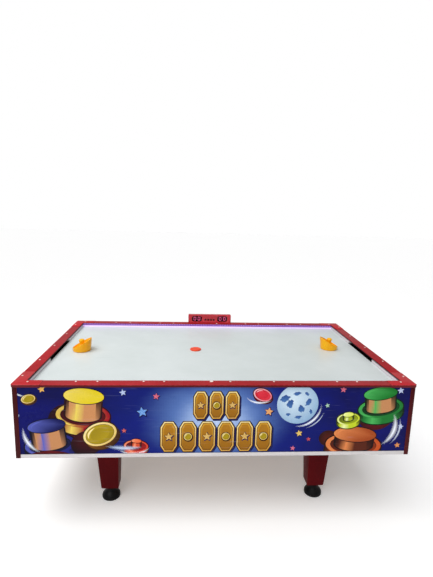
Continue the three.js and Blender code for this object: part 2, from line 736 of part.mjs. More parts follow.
// Mains inlet with its rocker switch, on the rear panel
function mainsInlet() {
  const { x, z, width, height, flange, depth, body, corner } = inlet;
  const face = cabinetY + gap;
  const plate = roundedRectangle([x - width / 2, x + width / 2], [z - height / 2, z + height / 2], corner);
  const bodyHeights = [z - height / 2 + corner, z + height / 2 - corner];
  const shell = join(
    alongY(plate, [face, face + flange]),
    block([x - body / 2, x + body / 2], [face - depth, face + 1], bodyHeights),
  );
  const socketHeight = z - socket.drop;
  const mouth = roundedRectangle(
    [x - socket.halfWidth, x + socket.halfWidth],
    [socketHeight - socket.halfHeight, socketHeight + socket.halfHeight],
    socket.corner,
  );
  const pins = [-pin.pitch, 0, pin.pitch].map((offset) => {
    const middle = socketHeight + (offset === 0 ? pin.middleRise : -pin.outerDrop);
    return block(
      [x + offset - pin.halfWidth, x + offset + pin.halfWidth],
      [face - pin.back, face - pin.front],
      [middle - pin.halfHeight, middle + pin.halfHeight],
    );
  });
  const { width: rockerWidth, length } = rocker;
  const bay = block(
    [x - rockerWidth / 2 - runningClearance, x + rockerWidth / 2 + runningClearance],
    [face - rocker.bay, face + flange + 1],
    [rockerHeight - length / 2 - runningClearance, rockerHeight + length / 2 + runningClearance],
  );
  const recess = alongY(mouth, [face - socket.depth, face + flange + 1]);
  add("mains_inlet", join(cut(shell, recess, bay), ...pins), "housingBlack");
}

const rockerHeight = inlet.z + rocker.rise;
const rockerPivotY = cabinetY + gap - rocker.pivotDepth;

// The rocker rests tipped to its off side, and its pivot runs along X
function mainsSwitch() {
  const { width, length, height } = rocker;
  const top = inlet.flange + rockerKey.proud;
  const profile = outline([
    [-height, rockerKey.taper - length / 2],
    [top, -length / 2],
    [top - rockerKey.dish, 0],
    [top, length / 2],
    [-height, length / 2 - rockerKey.taper],
  ]);
  const tilt = THREE.MathUtils.degToRad(rocker.throw);
  const settings = { depth: width, bevelEnabled: false };
  const key = new THREE.ExtrudeGeometry(profile, settings);
  key.rotateX(Math.PI / 2).rotateZ(Math.PI / 2).rotateX(tilt);
  key.translate(inlet.x - width / 2, rockerPivotY, rockerHeight);
  add("mains_switch", solid(key), "trayBlack");
}

// Loose pieces
function malletBody() {
  const { radius, flare, tall, low, wall, floor, band } = mallet;
  const rim = tall + malletOvershoot;
  const outer = turned([
    [0, 0], [radius - malletEdge.inset, 0], [radius, malletEdge.rise], [radius, band],
    [flare, rim], [0, rim],
  ], 48);
  const inside = turned([
    [0, floor], [radius - wall - malletEdge.inset, floor], [radius - wall, band],
    [flare - wall, rim + 1], [0, rim + 1],
  ], 48);
  const slant = outline([
    [-2 * radius, low - (tall - low) * ((2 * radius - radius) / (radius + flare))],
    [2 * radius, tall + (tall - low) * ((2 * radius - flare) / (radius + flare))],
    [2 * radius, 3 * tall],
    [-2 * radius, 3 * tall],
  ]);
  const { radius: knob, height, waist, swell, widest, shoulder, crown } = malletKnob;
  const grip = turned([
    [0, floor - 1], [knob - waist, floor - 1], [knob - waist, height - swell], [knob, height - widest],
    [knob, height - shoulder], [knob - crown, height - 1], [0, height],
  ], 32);
  return join(cut(outer, inside, alongY(slant, [-2 * radius, 2 * radius])), grip);
}

function loosePieces() {
  const height = playfieldTop + slidingLift;
  const hood = malletBody();
  const [leftX, leftY] = leftMalletPlace;
  const [rightX, rightY] = rightMalletPlace;
  add("left_mallet", hood.translate([leftX, leftY, height]), "malletOrange");
  add("right_mallet", mirrored(hood, -1, 1).translate([rightX, rightY, height]), "malletOrange");
  const { radius, thickness, place } = puck;
  const disc = turned([
    [0, 0], [radius - 1, 0], [radius, 1], [radius, thickness - 1], [radius - 1, thickness], [0, thickness],
  ], 48);
  add("puck", disc.translate([...place, height]), "puckOrange");
}

for (const side of sides) {
  longPanel(side);
  bottomTrim(side);
}
ends.forEach(endPanel);
rails();
bumpers();
lightStrips();
playfield();
plenum();
blowerHousing();
blowerImpeller();
blowerMotor();
for (const end of ends) {
  goalTray(end);
  crossBeam(end);
  for (const side of sides) {
    cornerPost(end, side);
    cornerCap(end, side);
    legAndFoot(end, side);
  }
}
scoreboardPieces();
mainsInlet();
mainsSwitch();
loosePieces();

export default group;
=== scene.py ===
import json
import math
import random

import bmesh
import bpy
from mathutils import Matrix, Vector


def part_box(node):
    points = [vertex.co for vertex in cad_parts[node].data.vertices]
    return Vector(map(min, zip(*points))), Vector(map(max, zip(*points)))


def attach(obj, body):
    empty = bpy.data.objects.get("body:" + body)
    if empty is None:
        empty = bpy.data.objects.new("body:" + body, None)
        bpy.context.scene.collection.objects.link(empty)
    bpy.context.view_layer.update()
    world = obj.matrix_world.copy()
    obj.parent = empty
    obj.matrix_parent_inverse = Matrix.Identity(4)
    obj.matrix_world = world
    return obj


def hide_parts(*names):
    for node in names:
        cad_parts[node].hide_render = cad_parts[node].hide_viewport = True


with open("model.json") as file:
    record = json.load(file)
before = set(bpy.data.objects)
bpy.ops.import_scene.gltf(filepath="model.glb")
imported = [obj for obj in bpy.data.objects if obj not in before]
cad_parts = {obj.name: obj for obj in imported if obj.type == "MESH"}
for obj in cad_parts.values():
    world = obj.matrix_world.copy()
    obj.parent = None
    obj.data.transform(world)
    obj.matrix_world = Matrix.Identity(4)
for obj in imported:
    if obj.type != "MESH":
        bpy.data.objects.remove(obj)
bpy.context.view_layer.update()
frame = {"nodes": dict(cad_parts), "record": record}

random.seed(7)  # the moon's ragged patches and the screws' turns come out the same each run

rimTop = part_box("front_left_corner_cap")[1].z
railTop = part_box("front_rail")[1].z
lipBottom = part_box("front_rail")[0].z
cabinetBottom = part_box("front_bottom_trim")[0].z
skinFace = -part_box("front_graphic")[0].y  # distance of the printed faces from the middle
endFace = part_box("right_end_panel")[1].x
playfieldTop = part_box("playfield")[1].z
print("frame read, rim at", round(rimTop, 3))

viewing = {
    "place": (-0.1454, -2.3144, 1.4695),  # metres from the floor under the middle of the table
    "yaw": math.radians(3.79),
    "pitch": math.radians(10.14),
    "roll": math.radians(1.58),
    "lens": 25.85,
    "sensor": 36.0,
}
studio = {
    "lights": [  # name, place, aims at, size, power in watts
        ("ceiling", (-1.5, 0.0, 2.6), (-0.4, 0.0, 0.7), 1.6, 18),
        ("front_fill", (-1.8, -4.4, 2.6), (0.0, -0.4, 0.5), 2.8, 44),
    ],
    "sun": {"strength": 1.62, "angle": 48, "tilt": (-22, 14)},  # a wide soft overhead bank, degrees
    "sky": {"behind": 0.42, "front": 0.28, "turnsOver": 0.35, "seen": 1.0},
    "floorSpan": 60.0,
    "floorLight": 0.22,  # keeps the sweep white out to its far edge
}


def tone(code):
    parts = [int(code[i : i + 2], 16) / 255 for i in (0, 2, 4)]
    return tuple(p / 12.92 if p <= 0.04045 else ((p + 0.055) / 1.055) ** 2.4 for p in parts) + (1.0,)


# Adds nodes to one tree. Inputs are fed with sockets, numbers or colour codes.
class Shading:
    def __init__(self, tree):
        self.tree = tree

    def feed(self, inputs, values):
        for key, value in values.items():
            if isinstance(value, bpy.types.NodeSocket):
                self.tree.links.new(value, inputs[key])
            else:
                inputs[key].default_value = tone(value) if isinstance(value, str) else value

    def put(self, kind, feeds=None, **settings):
        made = self.tree.nodes.new("ShaderNode" + kind)
        for key, value in settings.items():
            setattr(made, key, value)
        self.feed(made.inputs, feeds or {})
        return made.outputs

    def math(self, operation, *values):
        return self.put("Math", dict(enumerate(values)), operation=operation)[0]

    def times(self, first, *others):
        for other in others:
            first = self.math("MULTIPLY", first, other)
        return first

    def minus(self, first, second):
        return self.math("SUBTRACT", first, second)

    # first * factor + rest
    def scaled(self, first, factor, rest):
        return self.math("MULTIPLY_ADD", first, factor, rest)

    # Distance from the middle of the cell of a pattern that repeats at each pitch
    def offCell(self, axis, pitch):
        return self.math("ABSOLUTE", self.minus(self.math("FRACT", self.math("DIVIDE", axis, pitch)), 0.5))

    def vector(self, operation, first, second):
        return self.put("VectorMath", {0: first, 1: second}, operation=operation)[0]

    def blend(self, share, first, second):
        return self.put("Mix", {0: share, 6: first, 7: second}, data_type="RGBA", blend_type="MIX")[2]

    def spread(self, value, low, high, newLow=0.0, newHigh=1.0):
        feeds = {"Value": value, "From Min": low, "From Max": high, "To Min": newLow, "To Max": newHigh}
        return self.put("MapRange", feeds, interpolation_type="SMOOTHSTEP")[0]

    def noise(self, where, scale, detail=3.0, roughness=0.55):
        feeds = {"Vector": where, "Scale": scale, "Detail": detail, "Roughness": roughness}
        return self.put("TexNoise", feeds)["Fac"]

    def stretched(self, where, scale, turn=0.0):
        return self.put("Mapping", {"Vector": where, "Scale": scale, "Rotation": (0, 0, turn)})[0]

    def split(self, vector):
        return self.put("SeparateXYZ", {0: vector})

    def place(self):
        return self.put("TexCoord")["Object"]

    def up(self):
        return self.split(self.put("NewGeometry")["Normal"])["Z"]

    def effect(self, name, **feeds):
        return self.put("Group", feeds, node_tree=effects[name])

    def scratched(self, colour, amount, worn, scale=5.0):
        return self.blend(self.effect("scratches", Scale=scale, Amount=amount)["Mask"], colour, worn)

    def dusted(self, colour, amount, dust, scale):
        return self.blend(self.effect("dust", Scale=scale, Amount=amount)["Mask"], colour, dust)

    def smudged(self, scale, low, high):
        return self.effect("smudges", Scale=scale, Low=low, High=high)["Roughness"]

    def bump(self, height, distance, strength=0.5):
        return self.put("Bump", {"Height": height, "Distance": distance, "Strength": strength})[0]

    def peeled(self, scale, depth, distance, strength):
        return self.bump(self.effect("peel", Scale=scale, Depth=depth)["Height"], distance, strength)


# Low and high spots of a surface that hands have polished unevenly
def smudges(n, given):
    broad = n.noise(n.place(), given["Scale"], 4.0, 0.6)
    fine = n.noise(n.place(), n.times(given["Scale"], 9.0), 3.0, 0.7)
    mask = n.spread(n.scaled(broad, 0.75, n.times(fine, 0.25)), 0.35, 0.68)
    return {"Roughness": n.scaled(mask, n.minus(given["High"], given["Low"]), given["Low"])}


# The faint orange peel of paint and mouldings
def peel(n, given):
    small = n.noise(n.place(), given["Scale"], 2.0, 0.5)
    broad = n.noise(n.place(), n.times(given["Scale"], 0.13), 1.0, 0.5)
    return {"Height": n.times(n.math("ADD", small, broad), given["Depth"])}


# Long hair scratches in three directions
def scratches(n, given):
    strongest = 0.0
    for turn, stretch in ((0.3, (1.0, 34.0, 20.0)), (-0.9, (1.6, 46.0, 26.0)), (1.35, (1.2, 40.0, 30.0))):
        lane = n.noise(n.stretched(n.place(), stretch, turn), given["Scale"], 2.0, 0.5)
        strongest = n.math("MAXIMUM", strongest, n.spread(lane, 0.66, 0.74))
    patch = n.spread(n.noise(n.place(), 3.0, 2.0), 0.42, 0.62)
    return {"Mask": n.times(strongest, patch, given["Amount"])}


# Dust on faces that look up
def dust(n, given):
    clumps = n.noise(n.place(), given["Scale"], 6.0, 0.75)
    return {"Mask": n.times(n.spread(n.up(), 0.4, 0.95), n.spread(clumps, 0.42, 0.75), given["Amount"])}


# Rubbing along the edges of a box-shaped piece, mirrored into all four quarters of the table
def edgeRub(n, given):
    x, y, z = n.split(n.place())
    quarter = n.put("CombineXYZ", {0: n.math("ABSOLUTE", x), 1: n.math("ABSOLUTE", y), 2: z})[0]
    fromLow = n.vector("SUBTRACT", quarter, given["Low"])
    fromHigh = n.vector("SUBTRACT", given["High"], quarter)
    x, y, z = n.split(n.vector("MINIMUM", fromLow, fromHigh))
    least, most = n.math("MINIMUM", x, y), n.math("MAXIMUM", x, y)
    second = n.math("MAXIMUM", least, n.math("MINIMUM", most, z))
    rag = n.noise(n.place(), 120.0, 5.0, 0.7)
    reach = n.times(given["Width"], n.spread(rag, 0.3, 0.75, 0.1, 1.6))
    mask = n.minus(1.0, n.spread(n.math("DIVIDE", second, reach), 0.3, 1.0))
    inside = n.math("GREATER_THAN", n.math("MINIMUM", least, z), -0.0005)
    return {"Mask": n.times(mask, inside)}


def makeEffect(build, inputs):
    tree = bpy.data.node_groups.new(build.__name__, "ShaderNodeTree")
    for label, value in inputs.items():
        kind = "NodeSocketVector" if isinstance(value, tuple) else "NodeSocketFloat"
        tree.interface.new_socket(name=label, in_out="INPUT", socket_type=kind).default_value = value
    given = tree.nodes.new("NodeGroupInput").outputs
    made = build(Shading(tree), given)
    for label in made:
        tree.interface.new_socket(name=label, in_out="OUTPUT", socket_type="NodeSocketFloat")
    Shading(tree).feed(tree.nodes.new("NodeGroupOutput").inputs, made)
    return tree


effects = {
    "smudges": makeEffect(smudges, {"Scale": 4.0, "Low": 0.25, "High": 0.45}),
    "peel": makeEffect(peel, {"Scale": 260.0, "Depth": 0.5}),
    "scratches": makeEffect(scratches, {"Scale": 6.0, "Amount": 0.3}),
    "dust": makeEffect(dust, {"Scale": 30.0, "Amount": 0.25}),
    "edgeRub": makeEffect(edgeRub, {"Low": (0, 0, 0), "High": (1, 1, 1), "Width": 0.004}),
}


# A finish gives back what the surface shader is fed with
def makeMaterial(name, finish, *values):
    material = bpy.data.materials.new(name)
    material.use_nodes = True
    n = Shading(material.node_tree)
    n.feed(material.node_tree.nodes["Principled BSDF"].inputs, finish(n, *values))
    return material


def addCamera(values):
    data = bpy.data.cameras.new("camera")
    data.sensor_fit = "VERTICAL"
    data.sensor_height = values["sensor"]
    data.lens = values["lens"]
    camera = bpy.data.objects.new("camera", data)
    bpy.context.collection.objects.link(camera)
    turn = Matrix.Rotation(-values["yaw"], 4, "Z")
    tip = Matrix.Rotation(math.pi / 2 - values["pitch"], 4, "X")
    lean = Matrix.Rotation(values["roll"], 4, "Z")
    camera.matrix_world = Matrix.Translation(values["place"]) @ turn @ tip @ lean
    bpy.context.scene.camera = camera


def addLamp(name, kind, power):
    data = bpy.data.lights.new(name, kind)
    data.energy = power
    lamp = bpy.data.objects.new(name, data)
    bpy.context.collection.objects.link(lamp)
    return lamp


def addStudio(values):
    for name, place, aim, size, power in values["lights"]:
        lamp = addLamp(name, "AREA", power)
        lamp.data.size = size
        lamp.location = place
        lamp.rotation_euler = (Vector(aim) - Vector(place)).to_track_quat("-Z", "Y").to_euler()
    sun = addLamp("overhead", "SUN", values["sun"]["strength"])
    sun.data.angle = math.radians(values["sun"]["angle"])
    tiltX, tiltY = values["sun"]["tilt"]
    sun.rotation_euler = (math.radians(-tiltX), math.radians(-tiltY), 0)
    world = bpy.data.worlds.new("studio")
    world.use_nodes = True
    n = Shading(world.node_tree)
    sky = values["sky"]
    ahead = n.split(n.put("TexCoord")["Generated"])["Y"]
    level = n.spread(ahead, -sky["turnsOver"], sky["turnsOver"], sky["front"], sky["behind"])
    seen = n.put("LightPath")["Is Camera Ray"]
    shown = n.put("Mix", {0: seen, 2: level, 3: sky["seen"]}, data_type="FLOAT")[0]
    n.feed(world.node_tree.nodes["Background"].inputs, {"Strength": shown, "Color": "FFFFFF"})
    bpy.context.scene.world = world
    bpy.context.scene.view_settings.view_transform = "Standard"
    bm = bmesh.new()
    bmesh.ops.create_grid(bm, x_segments=4, y_segments=4, size=values["floorSpan"] / 2)
    mesh = bpy.data.meshes.new("floor")
    bm.to_mesh(mesh)
    bm.free()
    floor = bpy.data.objects.new("floor", mesh)
    bpy.context.collection.objects.link(floor)
    mesh.materials.append(makeMaterial("pale_floor", floorFinish, values["floorLight"]))


def floorFinish(n, light):
    colour = n.blend(n.noise(n.place(), 3.0, 4.0), "F8F8F8", "FCFCFC")
    return {
        "Base Color": colour, "Emission Color": colour, "Emission Strength": light, "Roughness": 0.9,
        "Specular IOR Level": 0.0,
    }


# What a moulded finish has where its own values don't say otherwise
commonFinish = {
    "driftScale": 3.0, "scratches": 0.25, "worn": "D8C8C4", "boxes": [], "rubWidth": 0.003, "rub": 0.5,
    "side": None, "dust": 0.15, "peelDepth": 0.0003, "coat": 0.0, "metal": 0.0, "specular": 0.35,
}


# A moulded or painted finish: colour drift, scratches, rubbed edges, painted shade on the faces that do not look
# up, dust, smudges and peel
def mouldedFinish(n, own):
    values = {**commonFinish, **own}
    drift = n.spread(n.noise(n.place(), values["driftScale"], 3.0), 0.3, 0.7)
    colour = n.blend(drift, values["deep"], values["light"])
    colour = n.scratched(colour, values["scratches"], values["worn"], 6.0)
    for node in values["boxes"]:
        low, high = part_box(node)
        quarterLow = (-1.0 if low.x < 0 else low.x, -1.0 if low.y < 0 else low.y, low.z)
        rub = n.effect("edgeRub", Low=quarterLow, High=tuple(high), Width=values["rubWidth"])["Mask"]
        colour = n.blend(n.times(rub, values["rub"]), colour, values["worn"])
    # Painted shade: faces that do not look up, such as the rails' lips, take the darker side colour
    if values["side"]:
        colour = n.blend(n.spread(n.up(), 0.2, 0.75), values["side"], colour)
    return {
        "Base Color": n.dusted(colour, values["dust"], "CFC8C0", 26.0),
        "Roughness": n.smudged(5.0, *values["roughness"]),
        "Normal": n.peeled(260.0, 0.5, values["peelDepth"], 0.35),
        "Coat Weight": values["coat"],
        "Coat Roughness": 0.12 if values["coat"] else 0.03,
        "Metallic": values["metal"],
        "Specular IOR Level": values["specular"],
    }


finishValues = {
    # The side colours of the rail and cap reds are painted shade on their lips and sides
    "rail_red": {"deep": "9C0E18", "light": "AE1822", "side": "52040C", "roughness": (0.36, 0.46),
                 "boxes": ["rear_rail", "right_rail"], "worn": "D86060", "rub": 0.25, "dust": 0.03,
                 "specular": 0.16},
    "cap_red": {"deep": "B4101C", "light": "C61824", "side": "62060E", "roughness": (0.32, 0.42),
                "boxes": ["rear_right_corner_cap"], "worn": "F08A8A", "rub": 0.25, "dust": 0.02,
                "specular": 0.2},
    # Lighter and pinker than the caps' red: partly the housing's own paint, partly painted reflection of the
    # white playfield
    "scoreboard_red": {"deep": "C2202E", "light": "D43444", "roughness": (0.12, 0.2), "worn": "F09A9A",
                       "dust": 0.02, "specular": 0.3, "coat": 0.5},
    "post_red": {"deep": "3C0308", "light": "4C050B", "roughness": (0.34, 0.45),
                 "boxes": ["rear_right_corner_post"], "worn": "8A302C", "rub": 0.4, "rubWidth": 0.0015,
                 "specular": 0.12},
    "leg_maroon": {"deep": "480005", "light": "560208", "roughness": (0.4, 0.52), "boxes": ["rear_right_leg"],
                   "worn": "7A2018", "rub": 0.3, "peelDepth": 0.0006, "dust": 0.01, "specular": 0.06,
                   "scratches": 0.12},
    "tray_black": {"deep": "030303", "light": "060606", "roughness": (0.5, 0.65), "worn": "2A2A2C",
                   "dust": 0.04, "specular": 0.12},
    "sensor_black": {"deep": "121214", "light": "1A1A1D", "roughness": (0.4, 0.55), "worn": "55555A"},
    "housing_black": {"deep": "17181A", "light": "202224", "roughness": (0.42, 0.6), "worn": "5A5C60",
                      "dust": 0.3},
    "foot_black": {"deep": "040405", "light": "070708", "roughness": (0.4, 0.55), "worn": "242426",
                   "peelDepth": 0.0008, "dust": 0.06, "specular": 0.16},
    "button_black": {"deep": "14060A", "light": "200A10", "roughness": (0.5, 0.65), "worn": "503A3C",
                     "specular": 0.2},
    "mallet_orange": {"deep": "FFAC00", "light": "FFBE12", "roughness": (0.26, 0.36), "worn": "FFD089",
                      "scratches": 0.2, "coat": 0.1, "driftScale": 14.0, "dust": 0.0, "specular": 0.25},
    "puck_orange": {"deep": "EE4A26", "light": "F86238", "roughness": (0.28, 0.42), "worn": "FFB39C",
                    "scratches": 0.3, "driftScale": 20.0, "dust": 0.0, "specular": 0.25},
    "motor_grey": {"deep": "7D8084", "light": "9A9DA1", "roughness": (0.28, 0.45), "worn": "C8CACC",
                   "metal": 0.9, "dust": 0.3},
    "screw_zinc": {"deep": "F0D8D0", "light": "FFF0EA", "roughness": (0.3, 0.42), "worn": "FFFFFF",
                   "metal": 0.25, "dust": 0.0},
}


# Fibreboard: packed fibres under soft clouds and dust
def boardFinish(n):
    fibres = n.noise(n.stretched(n.place(), (1.0, 1.0, 3.0)), 240.0, 5.0, 0.75)
    clouds = n.noise(n.place(), 5.0, 4.0)
    colour = n.blend(n.spread(fibres, 0.25, 0.75), "9A7752", "B8946B")
    colour = n.blend(n.spread(clouds, 0.3, 0.8, 0.0, 0.4), colour, "8A6644")
    return {
        "Base Color": n.dusted(colour, 0.35, "CBB9A0", 18.0),
        "Roughness": 0.85,
        "Normal": n.bump(fibres, 0.0006, 0.6),
    }


printing = {
    "glowCentre": (-0.015, 0.185),  # along the panel, and above the cabinet's underside
    "glowReach": (0.33, 0.24),
    "glowRings": ((0.7, 2.1, 0.6, "0C2488"), (0.1, 1.15, 0.9, "7098DA"), (0.0, 0.62, 0.8, "C8DAF8")),
    "cell": 0.0075,  # pitch of the faint woven grid in the print
    "skin": (0.0006, 0.0003),  # behind the printed face the board turns black between these depths
    "specular": 0.1,
}


def satinFilm(n, values):
    return {
        "Roughness": n.smudged(3.0, 0.26, 0.42),
        "Normal": n.peeled(180.0, 0.4, 0.0002, 0.3),
        "Specular IOR Level": printing["specular"],
        **values,
    }


# Printed laminate: deep blue, a pale glow behind the emblem, a faint grid and a satin film
def printedFinish(n, glow, onEnds):
    x, y, z = n.split(n.place())
    along, out, face = (y, x, endFace) if onEnds else (x, y, skinFace)
    offs = []
    for axis, middle, reach in zip((along, z), printing["glowCentre"], printing["glowReach"]):
        start = cabinetBottom if axis is z else 0.0
        offs.append(n.math("POWER", n.math("DIVIDE", n.minus(axis, start + middle), reach), 2.0))
    swirl = n.noise(n.stretched(n.place(), (1.0, 1.0, 2.2)), 3.2, 4.0, 0.6)
    far = n.scaled(n.minus(swirl, 0.5), 0.35, n.math("SQRT", n.math("ADD", *offs)))
    colour = n.blend(n.spread(swirl, 0.3, 0.72), "020446", "060C6C")
    for near, reach, share, code in printing["glowRings"]:
        colour = n.blend(n.times(n.spread(far, near, reach, 1.0, 0.0), share * glow), colour, code)
    lines = [n.spread(n.offCell(axis, printing["cell"]), 0.34, 0.5) for axis in (along, z)]
    colour = n.blend(n.times(n.math("MAXIMUM", *lines), 0.16), colour, "05082E")
    deep, shallow = printing["skin"]
    outer = n.spread(n.math("ABSOLUTE", out), face - deep, face - shallow)
    return satinFilm(n, {"Base Color": n.blend(outer, "0A0506", n.scratched(colour, 0.05, "AEB8E8"))})


# White melamine with soft clouds, puck marks and a clear gloss; below its top skin, inside the air holes and on
# the board's edges, it is painted dark grey as shade
def playfieldFinish(n):
    clouds = n.noise(n.place(), 2.6, 5.0, 0.6)
    colour = n.blend(n.spread(clouds, 0.3, 0.7), "CFD7D6", "D8DFDF")
    # Mask that keeps the top skin white; below it the board gets painted shade
    surface = n.spread(n.split(n.place())["Z"], playfieldTop - 0.0014, playfieldTop - 0.0004)
    return {
        "Base Color": n.blend(surface, "2C2E30", n.scratched(colour, 0.16, "B4BEC0", 3.0)),
        "Roughness": n.smudged(2.5, 0.28, 0.31),
        "Specular IOR Level": 0.2,
        "Normal": n.peeled(120.0, 0.3, 0.0002, 0.2),
    }


lighting = {
    "lilac": "CE9CFF",
    # strength of the painted glow on the bumpers, which are no lamps
    "bumper": 0.62,
    "tape": 1.8,
    "ledPitch": 0.0167,
    "recessShade": (0.0146, 0.0156),  # heights above the playfield between which the painted shade of the recess fades in
    # the band between these heights takes a painted purple shade on the long sides, and its painted glow dims
    "upper": (0.0070, 0.0125),
}


# Pale plastic with painted light: along the long sides it glows lilac as if lit by the strip above it, brightest
# under each chip, and the painted shade bands dim that glow
def bumperFinish(n):
    x, y, z = n.split(n.place())
    pale = n.blend(n.noise(n.place(), 7.0, 3.0), "DCD2D8", "EAE2E6")
    recessShade, upper = (n.spread(z, *(playfieldTop + h for h in lighting[key])) for key in ("recessShade", "upper"))
    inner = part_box("rear_bumper")[0].y
    long = n.spread(n.math("ABSOLUTE", y), inner - 0.004, inner - 0.001)
    # Painted shade: along the long sides the bumper's upper band is coloured dark purple
    shaded = n.blend(n.times(upper, long), pale, "7A4A98")
    spots = n.spread(n.offCell(x, lighting["ledPitch"]), 0.1, 0.5, 1.0, 0.82)
    lit = n.times(n.scaled(upper, -0.78, 1.0), n.scaled(recessShade, -0.6, 1.0))
    return {
        # Painted shade: the recess above the bumper is coloured dark purple-brown on every side
        "Base Color": n.blend(recessShade, shaded, "4A0A24"),
        # Painted light: emission stands in for the strip's lilac light on the long bumpers
        "Emission Color": n.blend(n.times(n.times(long, spots), lit), "000000", lighting["lilac"]),
        "Emission Strength": lighting["bumper"],
        "Specular IOR Level": 0.2,
        "Roughness": n.smudged(9.0, 0.3, 0.5),
        "Normal": n.peeled(260.0, 0.5, 0.0003, 0.3),
    }


# Light tape: a milky strip with a bright chip at each pitch
def tapeFinish(n):
    chip = n.spread(n.offCell(n.split(n.place())["X"], lighting["ledPitch"]), 0.12, 0.3, 1.0, 0.25)
    return {
        "Base Color": n.blend(chip, "C9A6E8", "F4E4FF"),
        "Emission Color": n.blend(chip, "7A3FD0", lighting["lilac"]),
        "Emission Strength": lighting["tape"],
        "Roughness": n.smudged(20.0, 0.4, 0.6),
    }


# White coated aluminium channel with drawing lines along it
def trimFinish(n):
    lines = n.noise(n.stretched(n.place(), (0.6, 60.0, 60.0)), 9.0, 3.0, 0.6)
    low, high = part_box("rear_bottom_trim")
    rub = n.effect("edgeRub", Low=(-1.0, low.y, low.z), High=tuple(high), Width=0.002)["Mask"]
    return {
        "Base Color": n.blend(n.times(rub, 0.5), n.blend(lines, "B9B4B5", "E2DEDE"), "8F8A8C"),
        "Metallic": 0.35,
        "Roughness": n.smudged(7.0, 0.3, 0.45),
        "Normal": n.bump(lines, 0.0002, 0.3),
    }


# Tinted scoreboard window
def lensFinish(n):
    cloud = n.noise(n.place(), 40.0, 2.0)
    return {
        "Base Color": n.blend(cloud, "30000E", "3E0012"),
        "Alpha": n.spread(cloud, 0.2, 0.8, 0.34, 0.40),
        "Roughness": n.smudged(30.0, 0.2, 0.3),
        "Specular IOR Level": 0.12,
    }


def displayFinish(n):
    colour = n.blend(n.noise(n.place(), 90.0, 3.0), "3A0010", "4C0016")
    return {"Base Color": colour, "Roughness": n.smudged(40.0, 0.4, 0.6)}


# Printing ink: the colours of the artwork under a satin film
def inkFinish(n):
    ink = n.put("Attribute", attribute_name="ink")["Color"]
    x, y, z = n.split(n.place())
    across = n.put("CombineXYZ", {0: n.math("ADD", x, y), 1: z})[0]
    dots = n.put("TexVoronoi", {"Vector": across, "Scale": 420.0})["Distance"]
    colour = n.blend(n.spread(dots, 0.2, 0.7, 0.0, 0.12), ink, "140C28")
    return satinFilm(n, {"Base Color": n.scratched(colour, 0.1, "C8C8D8")})


# Streaks of light in the print, given a painted glow: their strength is kept beside their colour
def streakFinish(n):
    ink = n.put("Attribute", attribute_name="ink")
    fleck = n.noise(n.place(), 300.0, 3.0, 0.6)
    colour = n.blend(fleck, ink["Color"], "E8F0FF")
    return {
        "Base Color": colour,
        "Emission Color": colour,
        # Painted light: the ink glows though it is no lamp
        "Emission Strength": 0.3,
        "Alpha": n.times(ink["Alpha"], n.spread(fleck, 0.1, 0.6, 0.75, 1.0)),
        "Roughness": n.smudged(3.0, 0.26, 0.42),
        "Specular IOR Level": printing["specular"],
    }


def segmentFinish(n):
    colour = n.blend(n.noise(n.place(), 160.0, 2.0), "FF4A8C", "FF7AAE")
    return {"Base Color": colour, "Emission Color": colour, "Emission Strength": 2.2}


# Solder mask with copper tracks under it
def circuitFinish(n):
    where = n.stretched(n.place(), (90.0, 90.0, 90.0))
    tracks = n.put("TexBrick", {"Vector": where, "Scale": 1.0, "Mortar Size": 0.06})["Fac"]
    return {
        "Base Color": n.blend(tracks, "0B4A2A", "2C8A55"),
        "Roughness": n.smudged(40.0, 0.25, 0.4),
        "Normal": n.bump(tracks, 0.0001, 0.5),
    }


materials = {name: makeMaterial(name, mouldedFinish, values) for name, values in finishValues.items()}
for name, finish, *values in (
    ("panel_board", boardFinish),
    ("printed_laminate", printedFinish, 1.0, False),
    ("end_laminate", printedFinish, 0.35, True),
    ("playfield_white", playfieldFinish),
    ("bumper_white", bumperFinish),
    ("light_strip", tapeFinish),
    ("trim_white", trimFinish),
    ("lens_red", lensFinish),
    ("display_red", displayFinish),
    ("lit_segment", segmentFinish),
    ("printed_ink", inkFinish),
    ("printed_glow", streakFinish),
    ("circuit_green", circuitFinish),
):
    materials[name] = makeMaterial(name, finish, *values)

slots = {part["node"]: part["material_slot"] for part in frame["record"]["subparts"]}
for node, slot in slots.items():
    cadNode = frame["nodes"][node]
    cadNode.data.materials.clear()
    cadNode.data.materials.append(materials[slot])
print("materials on", len(frame["nodes"]), "nodes")


weld = 1e-6  # points closer than this are one


def addPiece(bm, name, body, finish, replaced=(), smooth=None):
    bmesh.ops.recalc_face_normals(bm, faces=bm.faces[:])
    mesh = bpy.data.meshes.new(name)
    bm.to_mesh(mesh)
    bm.free()
    piece = bpy.data.objects.new(name, mesh)
    bpy.context.collection.objects.link(piece)
    mesh.materials.append(materials[finish])
    if smooth is not None:
        mesh.shade_smooth()
        mesh.set_sharp_from_angle(angle=math.radians(smooth))
    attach(piece, body)
    if replaced:
        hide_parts(*replaced)


def newVerts(made):
    return [g for g in made if isinstance(g, bmesh.types.BMVert)]


def newEdges(made):
    return [g for g in made if isinstance(g, bmesh.types.BMEdge)]


def bevel(bm, geom, offset, segments, affect="EDGES", clamp=False):
    return bmesh.ops.bevel(
        bm, geom=geom, offset=offset, offset_type="OFFSET", segments=segments, profile=0.5, affect=affect,
        clamp_overlap=clamp, material=-1,
    )["faces"]


# Gives open faces a second side and returns its points, which lie on the first side until they are moved
def backed(bm, faces):
    return newVerts(bmesh.ops.extrude_face_region(bm, geom=faces, use_keep_orig=True)["geom"])


def thicken(bm, faces, shift):
    added = backed(bm, faces)
    bmesh.ops.translate(bm, verts=added, vec=shift)
    return added


